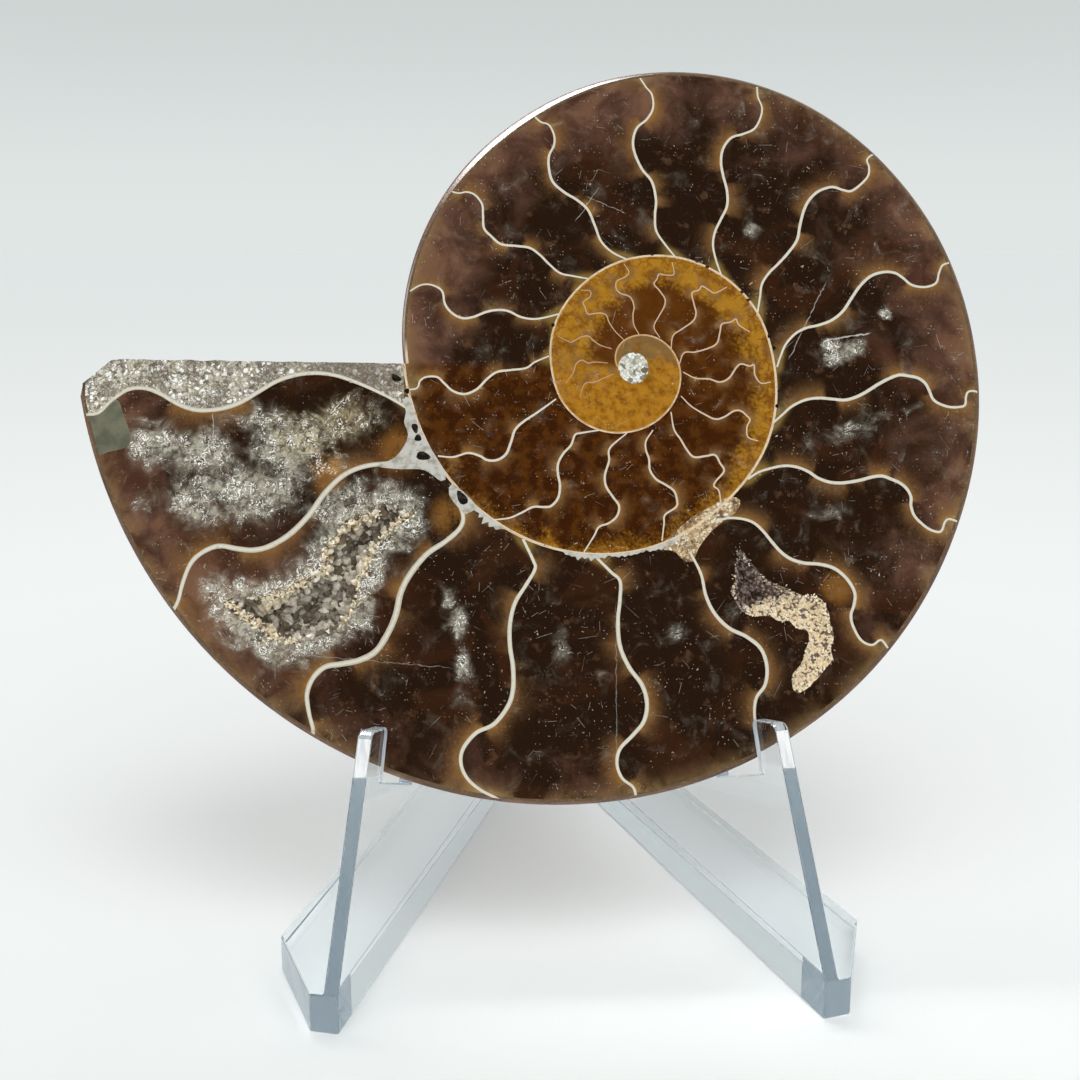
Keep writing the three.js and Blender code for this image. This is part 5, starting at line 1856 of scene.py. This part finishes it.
# The studio: bright all round, but for the dark side of the room in front, which the face looks at
DARK_SIDE = (2 * FACE_OUT.dot(CAMERA_BACK) * FACE_OUT - CAMERA_BACK).normalized()
HORIZON = (0.75, 0.79, 0.782)
UPPER_BACKDROP = (0.605, 0.65, 0.64)
ROOM_LIGHT = (0.25, 0.252, 0.252)
FRONT_LIGHT = (1.35, 1.36, 1.36)
BACK_LIGHT = (1.2, 1.21, 1.21)
ROOM_SHINE = (0.3, 0.31, 0.31)
BACK_SHINE = (0.85, 0.87, 0.87)
ROOM_DARK = (0.012, 0.012, 0.013)
LAMP_SHINE = (7.0, 7.0, 7.0)
WINDOW_SHINE = (15.0, 15.0, 15.0)
# Wide lights are in front and behind, a lamp at the left, and a window behind shows in the bevel.
# Each is a round patch: its direction, and how many degrees from its middle it starts to fade and ends.
DARK_PATCH = (DARK_SIDE, 30, 46)
FRONT_PATCH = (Vector((0.05, -0.73, 0.68)).normalized(), 25, 58)
BACK_PATCH = (Vector((0.0, 0.92, 0.34)).normalized(), 35, 75)
LAMP_PATCH = (Vector((-0.77, -0.28, 0.57)).normalized(), 10, 16)
WINDOW_PATCH = (Vector((-0.27, 0.24, 0.93)).normalized(), 14, 20)
# The overhead light: where it comes from, how wide it is in degrees and how strong
OVERHEAD_FROM = Vector((0.1, -0.56, 1.0))
OVERHEAD_WIDTH = 28
OVERHEAD_STRENGTH = 0.5
# How often light may bounce, so that it gets through the whole length of the acrylic
LIGHT_BOUNCES = 48


def make_world():
    """A white room. Reflections show a window in it, and a dark side that the face looks at."""
    world = bpy.data.worlds.new("studio")
    bpy.context.scene.world = world
    world.use_nodes = True
    w = Wiring(world.node_tree)
    direction = w.node("TexCoord").outputs["Generated"]

    def round_patch(middle, inner, outer):
        facing = w.node("VectorMath", {0: direction, 1: middle}, operation="DOT_PRODUCT").outputs["Value"]
        return w.fade(facing, math.cos(math.radians(outer)), math.cos(math.radians(inner)))

    sides = w.node("SeparateXYZ", {0: direction}).outputs
    backdrop = w.mix(w.fade(sides["Z"], 0.0, 0.16), HORIZON, UPPER_BACKDROP)
    shine = w.mix(w.fade(sides["Y"], -0.1, 0.3), ROOM_SHINE, BACK_SHINE)
    shine = w.mix(round_patch(*DARK_PATCH), shine, ROOM_DARK)
    shine = w.mix(round_patch(*LAMP_PATCH), shine, LAMP_SHINE)
    shine = w.mix(round_patch(*WINDOW_PATCH), shine, WINDOW_SHINE)
    light = w.mix(round_patch(*FRONT_PATCH), ROOM_LIGHT, FRONT_LIGHT)
    light = w.mix(round_patch(*BACK_PATCH), light, BACK_LIGHT)
    path = w.node("LightPath").outputs
    straight = w.math("LESS_THAN", path["Diffuse Depth"], 0.5)
    seen = w.math("MAXIMUM", path["Is Camera Ray"], w.times(path["Is Transmission Ray"], straight))
    shiny = w.math("GREATER_THAN", path["Is Glossy Ray"], path["Is Transmission Ray"])
    colour = w.mix(seen, w.mix(shiny, light, shine), backdrop)
    connect(w, world.node_tree.nodes["Background"].inputs, Color=colour, Strength=1.0)


def let_light_through():
    """Lets light run far enough inside the clear stand, and shows plain colours."""
    scene = bpy.context.scene
    scene.cycles.max_bounces = LIGHT_BOUNCES
    scene.cycles.glossy_bounces = LIGHT_BOUNCES
    scene.cycles.transmission_bounces = LIGHT_BOUNCES
    scene.cycles.blur_glossy = 0.0
    scene.view_settings.view_transform = "Standard"


# In the order of FOSSIL_FINISHES
fossil_materials = [
    make_chamber_calcite(), make_grit(), make_mud(), make_crumbs(), make_wall(), make_septum(),
    make_pale_junction(), make_bubble(), make_centre_crystals(), make_shell_back(), make_broken_mouth(),
    make_hollow_wall(),
]
fossil = make_ammonite(fossil_materials)
left_crystals = make_left_crystals(make_hollow_crystals("grey_crystals", *GREY_CRYSTALS))
right_crystals = make_right_crystals(make_hollow_crystals("sugary_crystals", *SUGARY_CRYSTALS))
stand_materials = [make_acrylic(), make_lip_edge_and_glare()]
left_stand = make_stand_half("stand_left", "stand_left_half", stand_materials)
right_stand = make_stand_half("stand_right", "stand_right_half", stand_materials)

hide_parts("ammonite")
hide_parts("crystal_crust_left")
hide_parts("crystal_crust_right")
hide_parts("stand_left")
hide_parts("stand_right")
for piece, finish in (
    (fossil, "polished_fossil"), (left_crystals, "hollow_crystals"), (right_crystals, "hollow_crystals"),
    (left_stand, "clear_acrylic"), (right_stand, "clear_acrylic"),
):
    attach(piece, "root")

make_camera()
make_floor(make_floor_white())
make_world()
make_sky_light("overhead_light", OVERHEAD_FROM, OVERHEAD_WIDTH, OVERHEAD_STRENGTH)
let_light_through()
